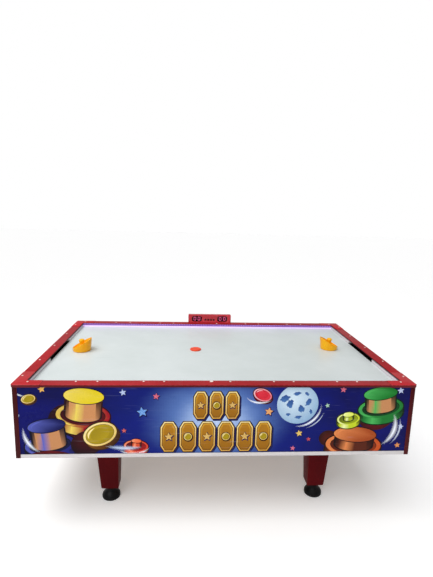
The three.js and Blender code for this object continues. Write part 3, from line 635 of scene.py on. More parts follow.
# The faces of a tube through loops of points, each joined to the next
def joinLoops(bm, pairs):
    faces = []
    for near, far in pairs:
        for i in range(len(near)):
            j = (i + 1) % len(near)
            faces.append(bm.faces.new((near[i], near[j], far[j], far[i])))
    return faces


# Middle of a node's underside
def footing(node):
    low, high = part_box(node)
    return Vector(((low.x + high.x) / 2, (low.y + high.y) / 2, low.z))


# Turns a profile of (radius, height) points about a vertical line
def turned(bm, profile, place, steps):
    points = [bm.verts.new((place[0] + radius, place[1], place[2] + height)) for radius, height in profile]
    edges = [bm.edges.new(pair) for pair in zip(points, points[1:])]
    bmesh.ops.spin(
        bm, geom=points + edges, cent=place, axis=(0, 0, 1), angle=2 * math.pi, steps=steps, use_merge=True
    )
    bmesh.ops.remove_doubles(bm, verts=bm.verts[:], dist=weld)


flatWithin, easedFrom = math.radians(1.0), math.radians(30.0)


# A copy of a hard-edged piece of the frame with its edges eased
def eased(node, width, finish):
    bm = bmesh.new()
    bm.from_mesh(frame["nodes"][node].data)
    bmesh.ops.remove_doubles(bm, verts=bm.verts[:], dist=2 * weld)
    bmesh.ops.dissolve_limit(bm, angle_limit=flatWithin, verts=bm.verts[:], edges=bm.edges[:])
    bmesh.ops.recalc_face_normals(bm, faces=bm.faces[:])
    sharp = [e for e in bm.edges if e.is_manifold and e.calc_face_angle(0.0) > easedFrom]
    bevel(bm, sharp, width, 2, clamp=True)
    bmesh.ops.triangulate(bm, faces=[f for f in bm.faces if len(f.verts) > 4])
    bodies = frame["record"]["behaviour"]["bodies"]
    body = next(name for name, members in bodies.items() if node in members)
    addPiece(bm, "eased_" + node, body, finish, replaced=[node], smooth=35)


easing = {  # metres taken off the edges of each kind of piece
    "_rail": 0.0012,
    "_corner_cap": 0.0014,
    "_corner_post": 0.0006,
    "_bottom_trim": 0.0004,
    "scoreboard_housing": 0.0008,
    "_leg": 0.003,
    "_bumper": 0.0006,
    "_goal_tray": 0.0006,
    "_cross_beam": 0.0008,
}
for node in list(frame["nodes"]):
    for ending, width in easing.items():
        if node.endswith(ending):
            eased(node, width, "scoreboard_red" if node == "scoreboard_housing" else slots[node])
print("eased the frame's hard pieces")


board = {
    "pitch": 0.030,
    "hole": 0.001,
    "holeDepth": 0.006,
    "skin": 0.001,  # faces this near the top are the holes' covers
    "columns": 58,
    "rows": 34,
    "notch": (0.8697, 0.1733),  # the ends are cut away here for the goals
}


def centred(count, pitch):
    return [(i - (count - 1) / 2) * pitch for i in range(count)]


# A thickened grid with a blind air hole at each crossing
def makePlayfield(values):
    low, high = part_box("playfield")
    notchX, notchY = values["notch"]
    holeX, holeY = (centred(values[key], values["pitch"]) for key in ("columns", "rows"))
    xs = sorted([low.x, -notchX] + holeX + [notchX, high.x])
    ys = sorted([low.y, -notchY] + holeY + [notchY, high.y])
    bm = bmesh.new()
    bmesh.ops.create_grid(bm, x_segments=len(xs) - 1, y_segments=len(ys) - 1, size=1.0)
    holes = []
    for v in bm.verts:
        column = round((v.co.x + 1) / 2 * (len(xs) - 1))
        row = round((v.co.y + 1) / 2 * (len(ys) - 1))
        v.co = (xs[column], ys[row], high.z)
        if xs[column] in holeX and ys[row] in holeY:
            holes.append(v)
    middles = {f: f.calc_center_median() for f in bm.faces}
    inNotch = [f for f, middle in middles.items() if abs(middle.x) > notchX and abs(middle.y) < notchY]
    bmesh.ops.delete(bm, geom=inNotch, context="FACES")
    thicken(bm, bm.faces[:], (0, 0, low.z - high.z))
    mouths = bevel(bm, holes, values["hole"], 2, affect="VERTICES")
    bottoms = newVerts(bmesh.ops.extrude_face_region(bm, geom=mouths)["geom"])
    bmesh.ops.translate(bm, verts=bottoms, vec=(0, 0, -values["holeDepth"]))
    covers = [f for f in mouths if f.is_valid and f.calc_center_median().z > high.z - values["skin"]]
    bmesh.ops.delete(bm, geom=covers, context="FACES")
    addPiece(bm, "drilled_playfield", "table", "playfield_white", replaced=["playfield"])


makePlayfield(board)
print("playfield drilled")


# The point that is u along and v across a turned axis, from a middle
def leaning(x, z, u, v, turn):
    return (x + u * math.cos(turn) - v * math.sin(turn), z + u * math.sin(turn) + v * math.cos(turn))


screw = {
    "radius": 0.0046,
    "height": 0.0016,
    "crossLong": 0.0026,
    "crossShort": 0.0006,
    "crossDepth": 0.0009,
    "seat": 0.00002,
    "longRailLine": 0.514,
    "longRail": (-0.650, -0.554, -0.347, -0.254, 0.050, 0.650, 0.554, 0.347, 0.254),
    "capPlaces": ((0.860, 0.520), (0.909, 0.450)),
    "endRailLine": 0.906,
    "endRail": (-0.235, 0.0, 0.235),
    "lockCap": (-0.037, -0.512, 0.0085),  # place and radius of the larger round cover
}


def addScrew(bm, place, radius, values, crossed=True):
    rise = values["height"]
    x, y, z = place
    profile = [(radius, 0.0), (radius, rise * 0.35), (radius * 0.9, rise * 0.75), (radius * 0.72, rise)]
    base = bmesh.ops.create_circle(bm, cap_ends=False, segments=20, radius=profile[0][0])["verts"]
    bmesh.ops.translate(bm, verts=base, vec=place)
    edges = list({e for v in base for e in v.link_edges})
    bmesh.ops.contextual_create(bm, geom=edges)
    for near, far in zip(profile, profile[1:]):
        made = bmesh.ops.extrude_edge_only(bm, edges=edges)["geom"]
        edges = newEdges(made)
        share = far[0] / near[0]
        for v in newVerts(made):
            v.co = (x + (v.co.x - x) * share, y + (v.co.y - y) * share, z + far[1])
    if not crossed:
        bmesh.ops.contextual_create(bm, geom=edges)
        return
    long, short = values["crossLong"], values["crossShort"]
    turn = random.uniform(0, math.pi / 2)
    corners = [(long, -short), (long, short), (short, short), (short, long), (-short, long), (-short, short)]
    corners += [(-a, -b) for a, b in corners]
    cross = [bm.verts.new((*leaning(x, y, a, b, turn), z + rise)) for a, b in corners]
    slot = [bm.edges.new(pair) for pair in zip(cross, cross[1:] + cross[:1])]
    bmesh.ops.triangle_fill(bm, use_beauty=True, edges=edges + slot)
    sunk = bmesh.ops.extrude_edge_only(bm, edges=slot)["geom"]
    bmesh.ops.translate(bm, verts=newVerts(sunk), vec=(0, 0, -values["crossDepth"]))
    bmesh.ops.contextual_create(bm, geom=newEdges(sunk))


def makeScrews(values):
    bm = bmesh.new()
    onRail, onCap = railTop + values["seat"], rimTop + values["seat"]
    places = []
    for side in (-1, 1):
        places += [(x, side * values["longRailLine"], onRail) for x in values["longRail"]]
        places += [(end * x, side * y, onCap) for end in (-1, 1) for x, y in values["capPlaces"]]
    places += [(end * values["endRailLine"], y, onRail) for end in (-1, 1) for y in values["endRail"]]
    for place in places:
        addScrew(bm, place, values["radius"], values)
    x, y, radius = values["lockCap"]
    addScrew(bm, (x, y, onRail), radius, values, crossed=False)
    addPiece(bm, "rim_screws", "table", "screw_zinc", smooth=40)


makeScrews(screw)


mallet = {
    "radius": 0.050,
    "flare": 0.056,
    "tall": 0.072,
    "low": 0.017,
    "wall": 0.004,
    "floor": 0.008,
    "knob": 0.015,
    "knobHeight": 0.066,
    "lip": 0.0011,
    "band": 0.012,  # the hood flares above this height
    "overshoot": 0.02,  # turned this much too tall, then cut off on the slant
    "steps": 64,
    "knobSteps": 40,
}


def makeMallet(node, facing, values):
    low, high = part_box(node)
    radius, flare, wall, floor = values["radius"], values["flare"], values["wall"], values["floor"]
    middleX = low.x + radius if facing > 0 else high.x - radius
    place = Vector((middleX, (low.y + high.y) / 2, low.z))
    top = values["tall"] + values["overshoot"]
    slope = (flare - radius) / (values["tall"] - values["band"])
    reach = flare + slope * values["overshoot"]
    shell = [(0, 0), (radius - 0.0040, 0), (radius - 0.0012, 0.0010), (radius, 0.0035), (radius, 0.0100)]
    shell += [(radius + 0.0004, 0.0125), (reach, top), (reach - wall, top), (radius - wall + 0.0004, 0.0140)]
    shell += [(radius - wall - 0.0015, floor + 0.0018), (radius - wall - 0.0045, floor + 0.0002)]
    shell += [(values["knob"] + 0.006, floor), (0, floor)]
    bm = bmesh.new()
    turned(bm, shell, place, values["steps"])
    rise = (values["tall"] - values["low"]) / (radius + flare)
    onPlane = place + Vector((-facing * radius, 0, values["low"]))
    normal = Vector((-facing * rise, 0, 1)).normalized()
    cutting = bmesh.ops.bisect_plane(
        bm, geom=bm.verts[:] + bm.edges[:] + bm.faces[:], dist=1e-7, plane_co=onPlane, plane_no=normal,
        clear_outer=True,
    )
    rim = newEdges(cutting["geom_cut"])
    bmesh.ops.bridge_loops(bm, edges=rim)
    bmesh.ops.recalc_face_normals(bm, faces=bm.faces[:])
    bevel(bm, [e for e in rim if e.is_valid], values["lip"], 3)
    knob, tallest = values["knob"], values["knobHeight"]
    grip = [(0, floor - 0.001), (knob + 0.004, floor - 0.001), (knob + 0.0035, floor + 0.0004)]
    grip += [(knob - 0.001, floor + 0.0022), (knob - 0.003, floor + 0.006), (knob - 0.003, tallest - 0.024)]
    grip += [(knob - 0.0018, tallest - 0.018), (knob, tallest - 0.012), (knob, tallest - 0.007)]
    grip += [(knob - 0.0015, tallest - 0.003), (knob - 0.0045, tallest - 0.0008), (0, tallest)]
    turned(bm, grip, place, values["knobSteps"])
    addPiece(bm, "moulded_" + node, node, "mallet_orange", replaced=[node], smooth=38)


makeMallet("left_mallet", 1, mallet)
makeMallet("right_mallet", -1, mallet)

puck = {"radius": 0.032, "thickness": 0.006, "groove": 0.0005, "steps": 64}


def makePuck(values):
    r, t, g = values["radius"], values["thickness"], values["groove"]
    rim = [(0, 0), (r - 0.0016, 0), (r - 0.0005, 0.0004), (r, 0.0014), (r, t - 0.0014)]
    rim += [(r - 0.0005, t - 0.0004), (r - 0.0016, t), (r - 0.0060, t), (r - 0.0064, t - g)]
    rim += [(r - 0.0084, t - g), (r - 0.0088, t)]
    rim += [(r * 0.45, t), (r * 0.43, t - g), (r * 0.36, t - g), (r * 0.34, t), (0, t)]
    bm = bmesh.new()
    turned(bm, rim, footing("puck"), values["steps"])
    addPiece(bm, "moulded_puck", "puck", "puck_orange", replaced=["puck"], smooth=38)


makePuck(puck)
print("mallets and puck done")

levelling = {
    "radius": 0.046,
    "neck": 0.025,
    "stem": 0.008,
    "stemTop": 0.102,
    "threadFrom": 0.0555,
    "threadPitch": 0.002,
    "threadDepth": 0.0009,
    "nutAcross": 0.0130,
    "nutRise": (0.0570, 0.0670),
    "nutEase": 0.0009,
    "padSteps": 48,
    "threadSteps": 24,
}


def makeFoot(side, end, values):
    node = side + "_" + end + "_foot"
    place = footing(node)
    r, neck, stem = values["radius"], values["neck"], values["stem"]
    pad = [(0, 0.0006), (r - 0.0140, 0.0006), (r - 0.0120, 0), (r - 0.0050, 0), (r - 0.0018, 0.0012)]
    pad += [(r, 0.0050), (r, 0.0080), (r - 0.0010, 0.0088), (r - 0.0010, 0.0100), (r, 0.0108), (r, 0.0150)]
    pad += [(r - 0.0012, 0.0190), (r - 0.0050, 0.0250), (neck + 0.0110, 0.0320), (neck + 0.0050, 0.0380)]
    pad += [(neck + 0.0018, 0.0440), (neck, 0.0500), (neck - 0.0006, 0.0540), (neck - 0.0030, 0.0560)]
    pad += [(stem, 0.0560), (0, 0.0560)]
    bm = bmesh.new()
    turned(bm, pad, place, values["padSteps"])
    height = values["threadFrom"]
    thread = [(0, height)]
    while height < values["stemTop"] - values["threadPitch"]:
        thread += [(stem - values["threadDepth"], height), (stem, height + values["threadPitch"] / 2)]
        height += values["threadPitch"]
    thread += [(stem - 0.0015, height), (0, height)]
    turned(bm, thread, place, values["threadSteps"])
    bottom, top = values["nutRise"]
    ring = bmesh.ops.create_circle(bm, cap_ends=True, segments=6, radius=values["nutAcross"])["verts"]
    bmesh.ops.translate(bm, verts=ring, vec=place + Vector((0, 0, bottom)))
    raised = thicken(bm, list(ring[0].link_faces), (0, 0, top - bottom))
    bevel(bm, list({e for v in raised + ring for e in v.link_edges}), values["nutEase"], 2)
    addPiece(bm, "levelling_" + side + "_" + end, node, "foot_black", replaced=[node], smooth=35)


for side in ("front", "rear"):
    for end in ("left", "right"):
        makeFoot(side, end, levelling)
print("feet done")

digits = {
    "height": 0.0215,
    "width": 0.0135,
    "bar": 0.0034,
    "gap": 0.0006,
    "thickness": 0.00012,
    "clear": 0.00008,  # behind the tinted window
    "pitch": 0.0290,
}


def addBar(bm, middle, length, thick, upright, depth):
    half, cut = length / 2, thick / 2
    shape = [(-half, 0), (-half + cut, cut), (half - cut, cut)]
    shape += [(-x, -z) for x, z in shape]
    if upright:
        shape = [(z, x) for x, z in shape]
    face = bm.faces.new([bm.verts.new((middle[0] + x, depth, middle[1] + z)) for x, z in shape])
    thicken(bm, [face], (0, digits["thickness"], 0))


def makeDigits(values):
    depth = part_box("scoreboard_lens")[1].y + values["clear"]
    w, h, gap, thick = values["width"] / 2, values["height"] / 2, values["gap"], values["bar"]
    for node in ("left_score_display", "right_score_display"):
        low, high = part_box(node)
        middle = (low + high) / 2
        bm = bmesh.new()
        for place in (-0.5, 0.5):
            x = middle.x + place * values["pitch"]
            for z in (-h, h):
                addBar(bm, (x, middle.z + z), 2 * w - 2 * gap, thick, False, depth)
            for side in (-w, w):
                for z in (-h / 2, h / 2):
                    addBar(bm, (x + side, middle.z + z), h - 2 * gap, thick, True, depth)
        addPiece(bm, node.replace("_display", "_digits"), "table", "lit_segment")


makeDigits(digits)

bezel = {
    "halfWidth": 0.173, "low": 0.5565, "high": 0.6165, "border": 0.013, "proud": 0.0022, "corner": 0.006,
    "ease": 0.0012,
    "seat": 0.0001,  # share of the height that the border starts from
}


def roundedRectangle(halfWidth, low, high, corner, steps=5):
    outline = []
    for cx, cz, start in (
        (halfWidth - corner, high - corner, 0),
        (-halfWidth + corner, high - corner, 90),
        (-halfWidth + corner, low + corner, 180),
        (halfWidth - corner, low + corner, 270),
    ):
        for i in range(steps + 1):
            angle = math.radians(start + 90 * i / steps)
            outline.append((cx + corner * math.cos(angle), cz + corner * math.sin(angle)))
    return outline


def makeBezel(end, sign, values):
    bm = bmesh.new()
    border, ease, seat = values["border"], values["ease"], values["seat"]
    loops = []
    section = ((border, seat), (border, 0.5), (border - ease, 1.0), (ease, 1.0), (0.0, 0.5), (0.0, seat))
    for grow, lift in section:
        outline = roundedRectangle(
            values["halfWidth"] + grow, values["low"] - grow, values["high"] + grow, values["corner"] + grow
        )
        x = sign * (endFace + values["proud"] * lift)
        loops.append([bm.verts.new((x, y, z)) for y, z in outline])
    joinLoops(bm, zip(loops, loops[1:] + loops[:1]))
    addPiece(bm, end + "_return_bezel", "table", "tray_black", smooth=35)


makeBezel("left", -1, bezel)
makeBezel("right", 1, bezel)

# Printed artwork: thin plates on the panels, each a little above the one under it
printLayer = 0.00004
backing = 0.00002  # gap between the panel and the backs of the plates
streakLevel = 42
strokeEnd = 0.0001  # half the width of a stroke's tip
panelWindow = ((-0.8972, cabinetBottom + 0.0195), (0.8972, lipBottom - 0.0006))
endWindow = ((-0.5270, cabinetBottom + 0.0015), (0.5270, lipBottom - 0.0006))


# Keeps the part of an outline that lies inside the window which the posts, lip and trim leave open
def clipped(outline, window):
    for axis in (0, 1):
        for edge, keep in ((window[0][axis], 1), (window[1][axis], -1)):
            kept = []
            for first, second in zip(outline, outline[1:] + outline[:1]):
                a, b = keep * (first[axis] - edge), keep * (second[axis] - edge)
                if a >= 0:
                    kept.append(first)
                if a * b < 0:
                    kept.append(tuple(f + (s - f) * a / (a - b) for f, s in zip(first, second)))
            outline = kept
            if len(outline) < 3:
                return []
    return outline


def flat(code):
    colour = tone(code)
    return lambda x, z: colour


# Turns from one colour to the other by the share that a place gives
def between(first, second, shareAt):
    a, b = tone(first), tone(second)

    def colour(x, z):
        share = min(1.0, max(0.0, shareAt(x, z)))
        return tuple(p + (q - p) * share for p, q in zip(a, b))

    return colour


def fade(first, second, start, end):
    dx, dz = end[0] - start[0], end[1] - start[1]
    whole = dx * dx + dz * dz
    return between(first, second, lambda x, z: ((x - start[0]) * dx + (z - start[1]) * dz) / whole)


def halo(first, second, middle, reach):
    return between(first, second, lambda x, z: math.hypot(x - middle[0], z - middle[1]) / reach)


# A plate of one outline, coloured at its points; rings of points inside it let its colour turn
def plate(art, outline, level, paint, rings=1):
    outline = clipped(outline, art["window"])
    if not outline:
        return
    bm, ink = art["bm"], art["ink"]
    depth = -(art["face"] + level * printLayer)
    cx = sum(x for x, z in outline) / len(outline)
    cz = sum(z for x, z in outline) / len(outline)
    loops = []
    for i in range(rings):
        share = 1 - i / rings
        ring = [(cx + (x - cx) * share, depth, cz + (z - cz) * share) for x, z in outline]
        loops.append([bm.verts.new(point) for point in ring])
    faces = joinLoops(bm, zip(loops, loops[1:])) + [bm.faces.new(loops[-1])]
    back = backed(bm, faces)
    for v in back:
        v.co.y = -(art["face"] + backing)
    for f in {f for v in back for f in v.link_faces} | set(faces):
        for loop in f.loops:
            loop[ink] = paint(loop.vert.co.x, loop.vert.co.z)


def ellipse(x, z, halfWidth, halfHeight, turn=0.0, count=40, start=0.0, sweep=360.0):
    points = []
    for i in range(count):
        angle = math.radians(start + sweep * i / (count if sweep == 360.0 else count - 1))
        u, v = halfWidth * math.cos(angle), halfHeight * math.sin(angle)
        points.append(leaning(x, z, u, v, math.radians(turn)))
    return points


# An ellipse swept along a straight line, as a short cylinder looks from the side
def swept(x, z, halfWidth, halfHeight, turn, shift, count=48):
    lean = math.radians(turn)
    points = []
    for px, pz in ellipse(x, z, halfWidth, halfHeight, turn, count):
        u = (px - x) * math.cos(lean) + (pz - z) * math.sin(lean)
        v = -(px - x) * math.sin(lean) + (pz - z) * math.cos(lean)
        nx = u / halfWidth**2 * math.cos(lean) - v / halfHeight**2 * math.sin(lean)
        nz = u / halfWidth**2 * math.sin(lean) + v / halfHeight**2 * math.cos(lean)
        far = nx * shift[0] + nz * shift[1] > 0
        points.append((px + shift[0], pz + shift[1]) if far else (px, pz))
    return points


# A line of points moved sideways, by the distance that sideways gives for each point's share of the way
def beside(points, sideways):
    moved = []
    for i, (x, z) in enumerate(points):
        before, after = points[max(0, i - 1)], points[min(len(points) - 1, i + 1)]
        dx, dz = after[0] - before[0], after[1] - before[1]
        length, off = math.hypot(dx, dz), sideways(i / (len(points) - 1))
        moved.append((x - dz / length * off, z + dx / length * off))
    return moved


# A tapering stroke, laid down as short pieces so that it may bend
def drawStroke(art, points, width, level, paint):
    left = beside(points, lambda share: width / 2 * math.sin(math.pi * share) + strokeEnd)
    right = beside(points, lambda share: -width / 2 * math.sin(math.pi * share) - strokeEnd)
    for i in range(len(points) - 1):
        plate(art, [left[i], left[i + 1], right[i + 1], right[i]], level, paint)


def star(x, z, size, turn, inner=0.46):
    points = []
    for i in range(10):
        radius = size / 2 * (1.0 if i % 2 == 0 else inner)
        angle = math.radians(90 + turn + 36 * i)
        points.append((x + radius * math.cos(angle), z + radius * math.sin(angle)))
    return points


def drawStar(art, x, z, size, turn, light, deep, edge, level=1):
    plate(art, star(x + size * 0.05, z - size * 0.06, size * 1.24, turn, 0.52), level, flat("0A1050"))
    plate(art, star(x, z, size * 1.14, turn, 0.52), level + 1, flat(edge))
    points = star(x, z, size, turn, 0.5)
    for i, (first, second) in enumerate(zip(points, points[1:] + points[:1])):
        pair = (light, deep) if i % 2 else (deep, light)
        plate(art, [first, second, (x, z)], level + 2, fade(*pair, (x, z), first))


def outlineWidth(width):
    return 0.0035 + width * 0.012


def drawPuck(art, x, z, width, height, turn, drop, colours, level=1):
    rim, face, middle, side, edge, shine = colours
    w, h = width / 2, height / 2
    line = outlineWidth(width)
    plate(art, swept(x, z, w + line, h + line, turn, drop), level, flat(edge))
    plate(art, swept(x, z, w, h, turn, drop), level + 1, fade(side, edge, (x - w, z), (x + w, z - h)))
    discs = (  # share of the width and of the height, and the colours
        (1.0, 1.0, fade(shine, rim, (x - w * 0.6, z + h), (x + w, z - h * 0.6))),
        (0.86, 0.84, flat(edge)),
        (0.84, 0.81, fade(face, middle, (x - w, z + h), (x + w, z - h))),
        (0.56, 0.54, fade(middle, face, (x - w * 0.6, z + h), (x + w, z - h))),
    )
    for i, (wide, high, paint) in enumerate(discs, 2):
        plate(art, ellipse(x, z, w * wide, h * high, turn), level + i, paint)
    drawStroke(art, ellipse(x, z, w * 0.7, h * 0.68, turn, 16, 100, 85), h * 0.16, level + 6, flat(shine))


# The round side of a short cylinder, laid down in upright strips so that its shading can turn
def barrel(art, x, z, halfWidth, halfHeight, turn, up, level, colours):
    shine, middle, edge = colours
    stops = ((-1.0, edge), (-0.8, middle), (-0.42, shine), (0.05, middle), (0.7, middle), (1.0, edge))
    lean = math.radians(turn)

    def onRim(u, lift):
        v = -halfHeight * math.sqrt(max(0.0, 1 - u * u))
        return leaning(x + lift[0], z + lift[1], u * halfWidth, v, lean)

    parts = 3
    for (near, first), (far, second) in zip(stops, stops[1:]):
        shading = fade(first, second, onRim(near, (0, 0)), onRim(far, (0, 0)))
        for i in range(parts):
            u0 = near + (far - near) * i / parts
            u1 = near + (far - near) * (i + 1) / parts
            plate(art, [onRim(u0, (0, 0)), onRim(u1, (0, 0)), onRim(u1, up), onRim(u0, up)], level, shading)


def drawMallet(art, x, z, width, height, turn, colours, level=1, knobShare=0.42, stand=0.62):
    rim, face, knob, knobTop, edge, shine = colours
    w, h = width / 2, height / 2
    lean = math.radians(turn)
    down = (math.sin(lean) * h * 0.5, -math.cos(lean) * h * 0.5)
    up = (-math.sin(lean) * height * stand, math.cos(lean) * height * stand)
    line = outlineWidth(width)
    plate(art, swept(x, z, w + line, h * 0.8 + line, turn, down), level, flat(edge))
    skirt = (shine, rim, edge)
    barrel(art, x + down[0], z + down[1], w, h * 0.8, turn, (-down[0], -down[1]), level + 1, skirt)
    top = fade(shine, rim, (x - w, z + h * 1.4), (x + w * 0.4, z))
    plate(art, ellipse(x, z, w, h * 0.8, turn), level + 2, top)
    plate(art, ellipse(x, z, w * 0.84, h * 0.64, turn), level + 3, flat(edge))
    dish = fade(edge, face, (x - w, z + h), (x + w * 0.3, z - h * 0.6))
    plate(art, ellipse(x, z - h * 0.03, w * 0.82, h * 0.60, turn), level + 4, dish)
    kw, kh = w * knobShare, h * knobShare * 0.62
    plate(art, swept(x, z, kw + line, kh + line, turn, up), level + 5, flat(edge))
    barrel(art, x, z, kw, kh, turn, up, level + 6, (shine, knob, edge))
    tx, tz = x + up[0], z + up[1]
    plate(art, ellipse(tx, tz, kw * 1.12 + line * 0.6, kh * 1.2 + line * 0.6, turn), level + 8, flat(edge))
    top = fade(shine, knobTop, (tx - kw, tz + kh), (tx, tz))
    plate(art, ellipse(tx, tz, kw * 1.12, kh * 1.2, turn), level + 9, top)
    gleam = ellipse(tx, tz, kw * 0.9, kh * 0.92, turn, 14, 100, 90)
    drawStroke(art, gleam, kh * 0.2, level + 10, flat(shine))
    drawStroke(art, ellipse(x, z, w * 0.93, h * 0.73, turn, 18, 185, 70), h * 0.09, level + 5, flat(shine))


# A soft-edged streak of light: clear at its edges and ends, brightest along its middle
def drawStreak(art, points, width, code, strength):
    colour = tone(code)[:3]
    last = len(points) - 1
    rows = (-1.0, -0.45, 0.0, 0.45, 1.0)
    weights = (0.0, 0.45, 1.0, 0.45, 0.0)

    def halfWidth(share):
        return width / 2 * (0.25 + 0.75 * math.sin(math.pi * share))

    rails = [beside(points, lambda share: halfWidth(share) * row) for row in rows]
    bm, ink = art["glowMesh"], art["glowInk"]
    depth = -(art["face"] + streakLevel * printLayer)
    low, high = art["window"]
    for r in range(len(rows) - 1):
        for i in range(last):
            corners = [(r, i), (r, i + 1), (r + 1, i + 1), (r + 1, i)]
            spots = [rails[row][step] for row, step in corners]
            if any(not (low[0] < x < high[0] and low[1] < z < high[1]) for x, z in spots):
                continue
            face = bm.faces.new([bm.verts.new((x, depth, z)) for x, z in spots])
            for loop, (row, step) in zip(face.loops, corners):
                loop[ink] = (*colour, strength * weights[row] * math.sin(math.pi * step / last))


def drawMoon(art, x, z, radius, level=1):
    lit = halo("DCEFFB", "7FA9D0", (x - radius * 0.2, z + radius * 0.25), radius * 1.5)
    plate(art, ellipse(x, z, radius, radius, 0, 56), level, lit, rings=6)
    blotches = [
        (-0.62, 0.30, 0.26, 0.17, 25), (-0.36, 0.02, 0.16, 0.22, -20), (-0.05, 0.55, 0.20, 0.10, 10),
        (0.18, -0.22, 0.15, 0.21, 15), (0.52, 0.12, 0.15, 0.24, -25), (0.05, -0.66, 0.17, 0.09, 8),
        (0.42, 0.52, 0.12, 0.08, -30), (-0.44, -0.52, 0.10, 0.08, 0), (0.66, -0.38, 0.07, 0.13, 20),
    ]
    for u, v, w, h, turn in blotches:
        mx, mz = x + u * radius, z + v * radius
        ragged = []
        for px, pz in ellipse(mx, mz, w * radius, h * radius, turn, 22):
            share = random.uniform(0.68, 1.16)
            ragged.append((mx + (px - mx) * share, mz + (pz - mz) * share))
        plate(art, ragged, level + 1, fade("2A4C90", "4A78B4", (mx, mz + h * radius), (mx, mz - h * radius)))


gold = ("E8C468", "C2A61C", "927C0C", "8A5208", "341C06", "FFE9A0")


# A plaque with a light border and a star or a puck on it, part of the textless emblem
def drawPlaque(art, x, z, width, height, ornament, level):
    w, h = width / 2, height / 2

    def octagon(grow):
        a, b = w + grow, h + grow
        return [(x - a, z + b * 0.62), (x - a * 0.55, z + b), (x + a * 0.55, z + b), (x + a, z + b * 0.62),
                (x + a, z - b * 0.62), (x + a * 0.55, z - b), (x - a * 0.55, z - b), (x - a, z - b * 0.62)]

    shadow = [(px + 0.006, pz - 0.007) for px, pz in octagon(0.004)]
    plate(art, shadow, level, flat("131A52"))
    plate(art, octagon(0.004), level + 1, flat("2C1606"))
    plate(art, octagon(0.0), level + 2, fade("FFE9A0", "D89A2C", (x - w, z + h), (x + w, z - h)))
    plate(art, octagon(-0.0055), level + 3, flat("4A2A06"))
    plate(art, octagon(-0.0080), level + 4, fade("D29A2A", "8E5A0A", (x, z + h), (x, z - h)))
    plate(art, octagon(-0.0150), level + 5, fade("B67C18", "9A640E", (x, z + h), (x, z - h)))
    if ornament == "star":
        drawStar(art, x, z, width * 0.56, 0, "FFE694", "B87A14", "4A2A06", level + 6)
    else:
        drawPuck(art, x, z, width * 0.50, width * 0.50, 0, (0.002, -0.003), gold, level + 6)


emblem = [  # places along the panel, height from the rim's top, width and height of each plaque
    ((-0.086, -0.013, 0.060), -0.102, 0.062, 0.132),
    ((-0.230, -0.142, -0.054, 0.034, 0.122, 0.210), -0.257, 0.074, 0.148),
]
stars = [  # place along the panel, height from the rim's top, size, turn, light and deep colours
    (-0.792, -0.024, 0.034, 12, "FFE68A", "E08A1E"), (-0.513, -0.151, 0.030, -14, "F4F8FF", "8FA6E0"),
    (-0.436, -0.040, 0.032, 10, "EAF2FF", "7E98D8"), (-0.288, -0.059, 0.032, -8, "FF9AB4", "B01E46"),
    (-0.351, -0.134, 0.050, 8, "9FD0FF", "2C6AC8"), (-0.433, -0.225, 0.024, 0, "FF8A8A", "A01828"),
    (-0.901, -0.149, 0.020, 5, "E6F0FF", "7E98D8"), (0.231, -0.134, 0.041, -10, "FFD9A0", "D87420"),
    (0.505, -0.105, 0.024, 12, "DFF6E4", "6AA890"), (0.575, -0.026, 0.032, -6, "FF9AB4", "B01E46"),
    (0.379, -0.244, 0.034, 10, "FFF0A0", "D8A020"), (0.426, -0.274, 0.022, 4, "FF7A8A", "981428"),
    (0.353, -0.320, 0.026, -8, "FFA0C0", "B82858"), (0.850, -0.031, 0.034, 8, "F4F8FF", "8FA6E0"),
    (0.868, -0.213, 0.028, -10, "F4F8FF", "8FA6E0"), (0.861, -0.309, 0.030, 6, "FFC080", "C05A18"),
]


def startArt(face, window):
    bm, glowMesh = bmesh.new(), bmesh.new()
    ink, glowInk = (made.loops.layers.float_color.new("ink") for made in (bm, glowMesh))
    return {"bm": bm, "ink": ink, "glowMesh": glowMesh, "glowInk": glowInk, "face": face, "window": window}


# The streaks get clear backs, so that they are closed and look the same
def closeStreaks(streaks, ink):
    bmesh.ops.remove_doubles(streaks, verts=streaks.verts[:], dist=weld)
    back = thicken(streaks, streaks.faces[:], (0, printLayer / 2, 0))
    for f in {f for v in back for f in v.link_faces}:
        for loop in f.loops:
            loop[ink] = (*loop[ink][:3], 0.0)


def finishArt(art, name, turn):
    closeStreaks(art["glowMesh"], art["glowInk"])
    made = ((art["bm"], "artwork", "printed_ink"), (art["glowMesh"], "streaks", "printed_glow"))
    for bm, kind, finish in made:
        bmesh.ops.transform(bm, matrix=Matrix.Rotation(turn, 4, "Z"), verts=bm.verts[:])
        if bm.faces:
            addPiece(bm, name + "_" + kind, "table", finish)
        else:
            bm.free()


# The part of an ellipse from start through sweep degrees
def arcPoints(x, z, halfWidth, halfHeight, start, sweep, turn=0, count=22):
    return ellipse(x, z, halfWidth, halfHeight, turn, count, start, sweep)


crimson = ("F07080", "C8182C", "E83848", "7A0818", "3A0610", "FFC0C8")
red = ("D8402C", "9A1418", "D8502C", "F0683C", "2A0408", "FF9A70")


# A dark round patch, warmest at a place that is off its middle
def drawShade(art, outline, level, codes, off, reach, rings=3):
    warmest = (outline[0] + off[0], outline[1] + off[1])
    plate(art, ellipse(*outline), level, halo(*codes, warmest, reach), rings)


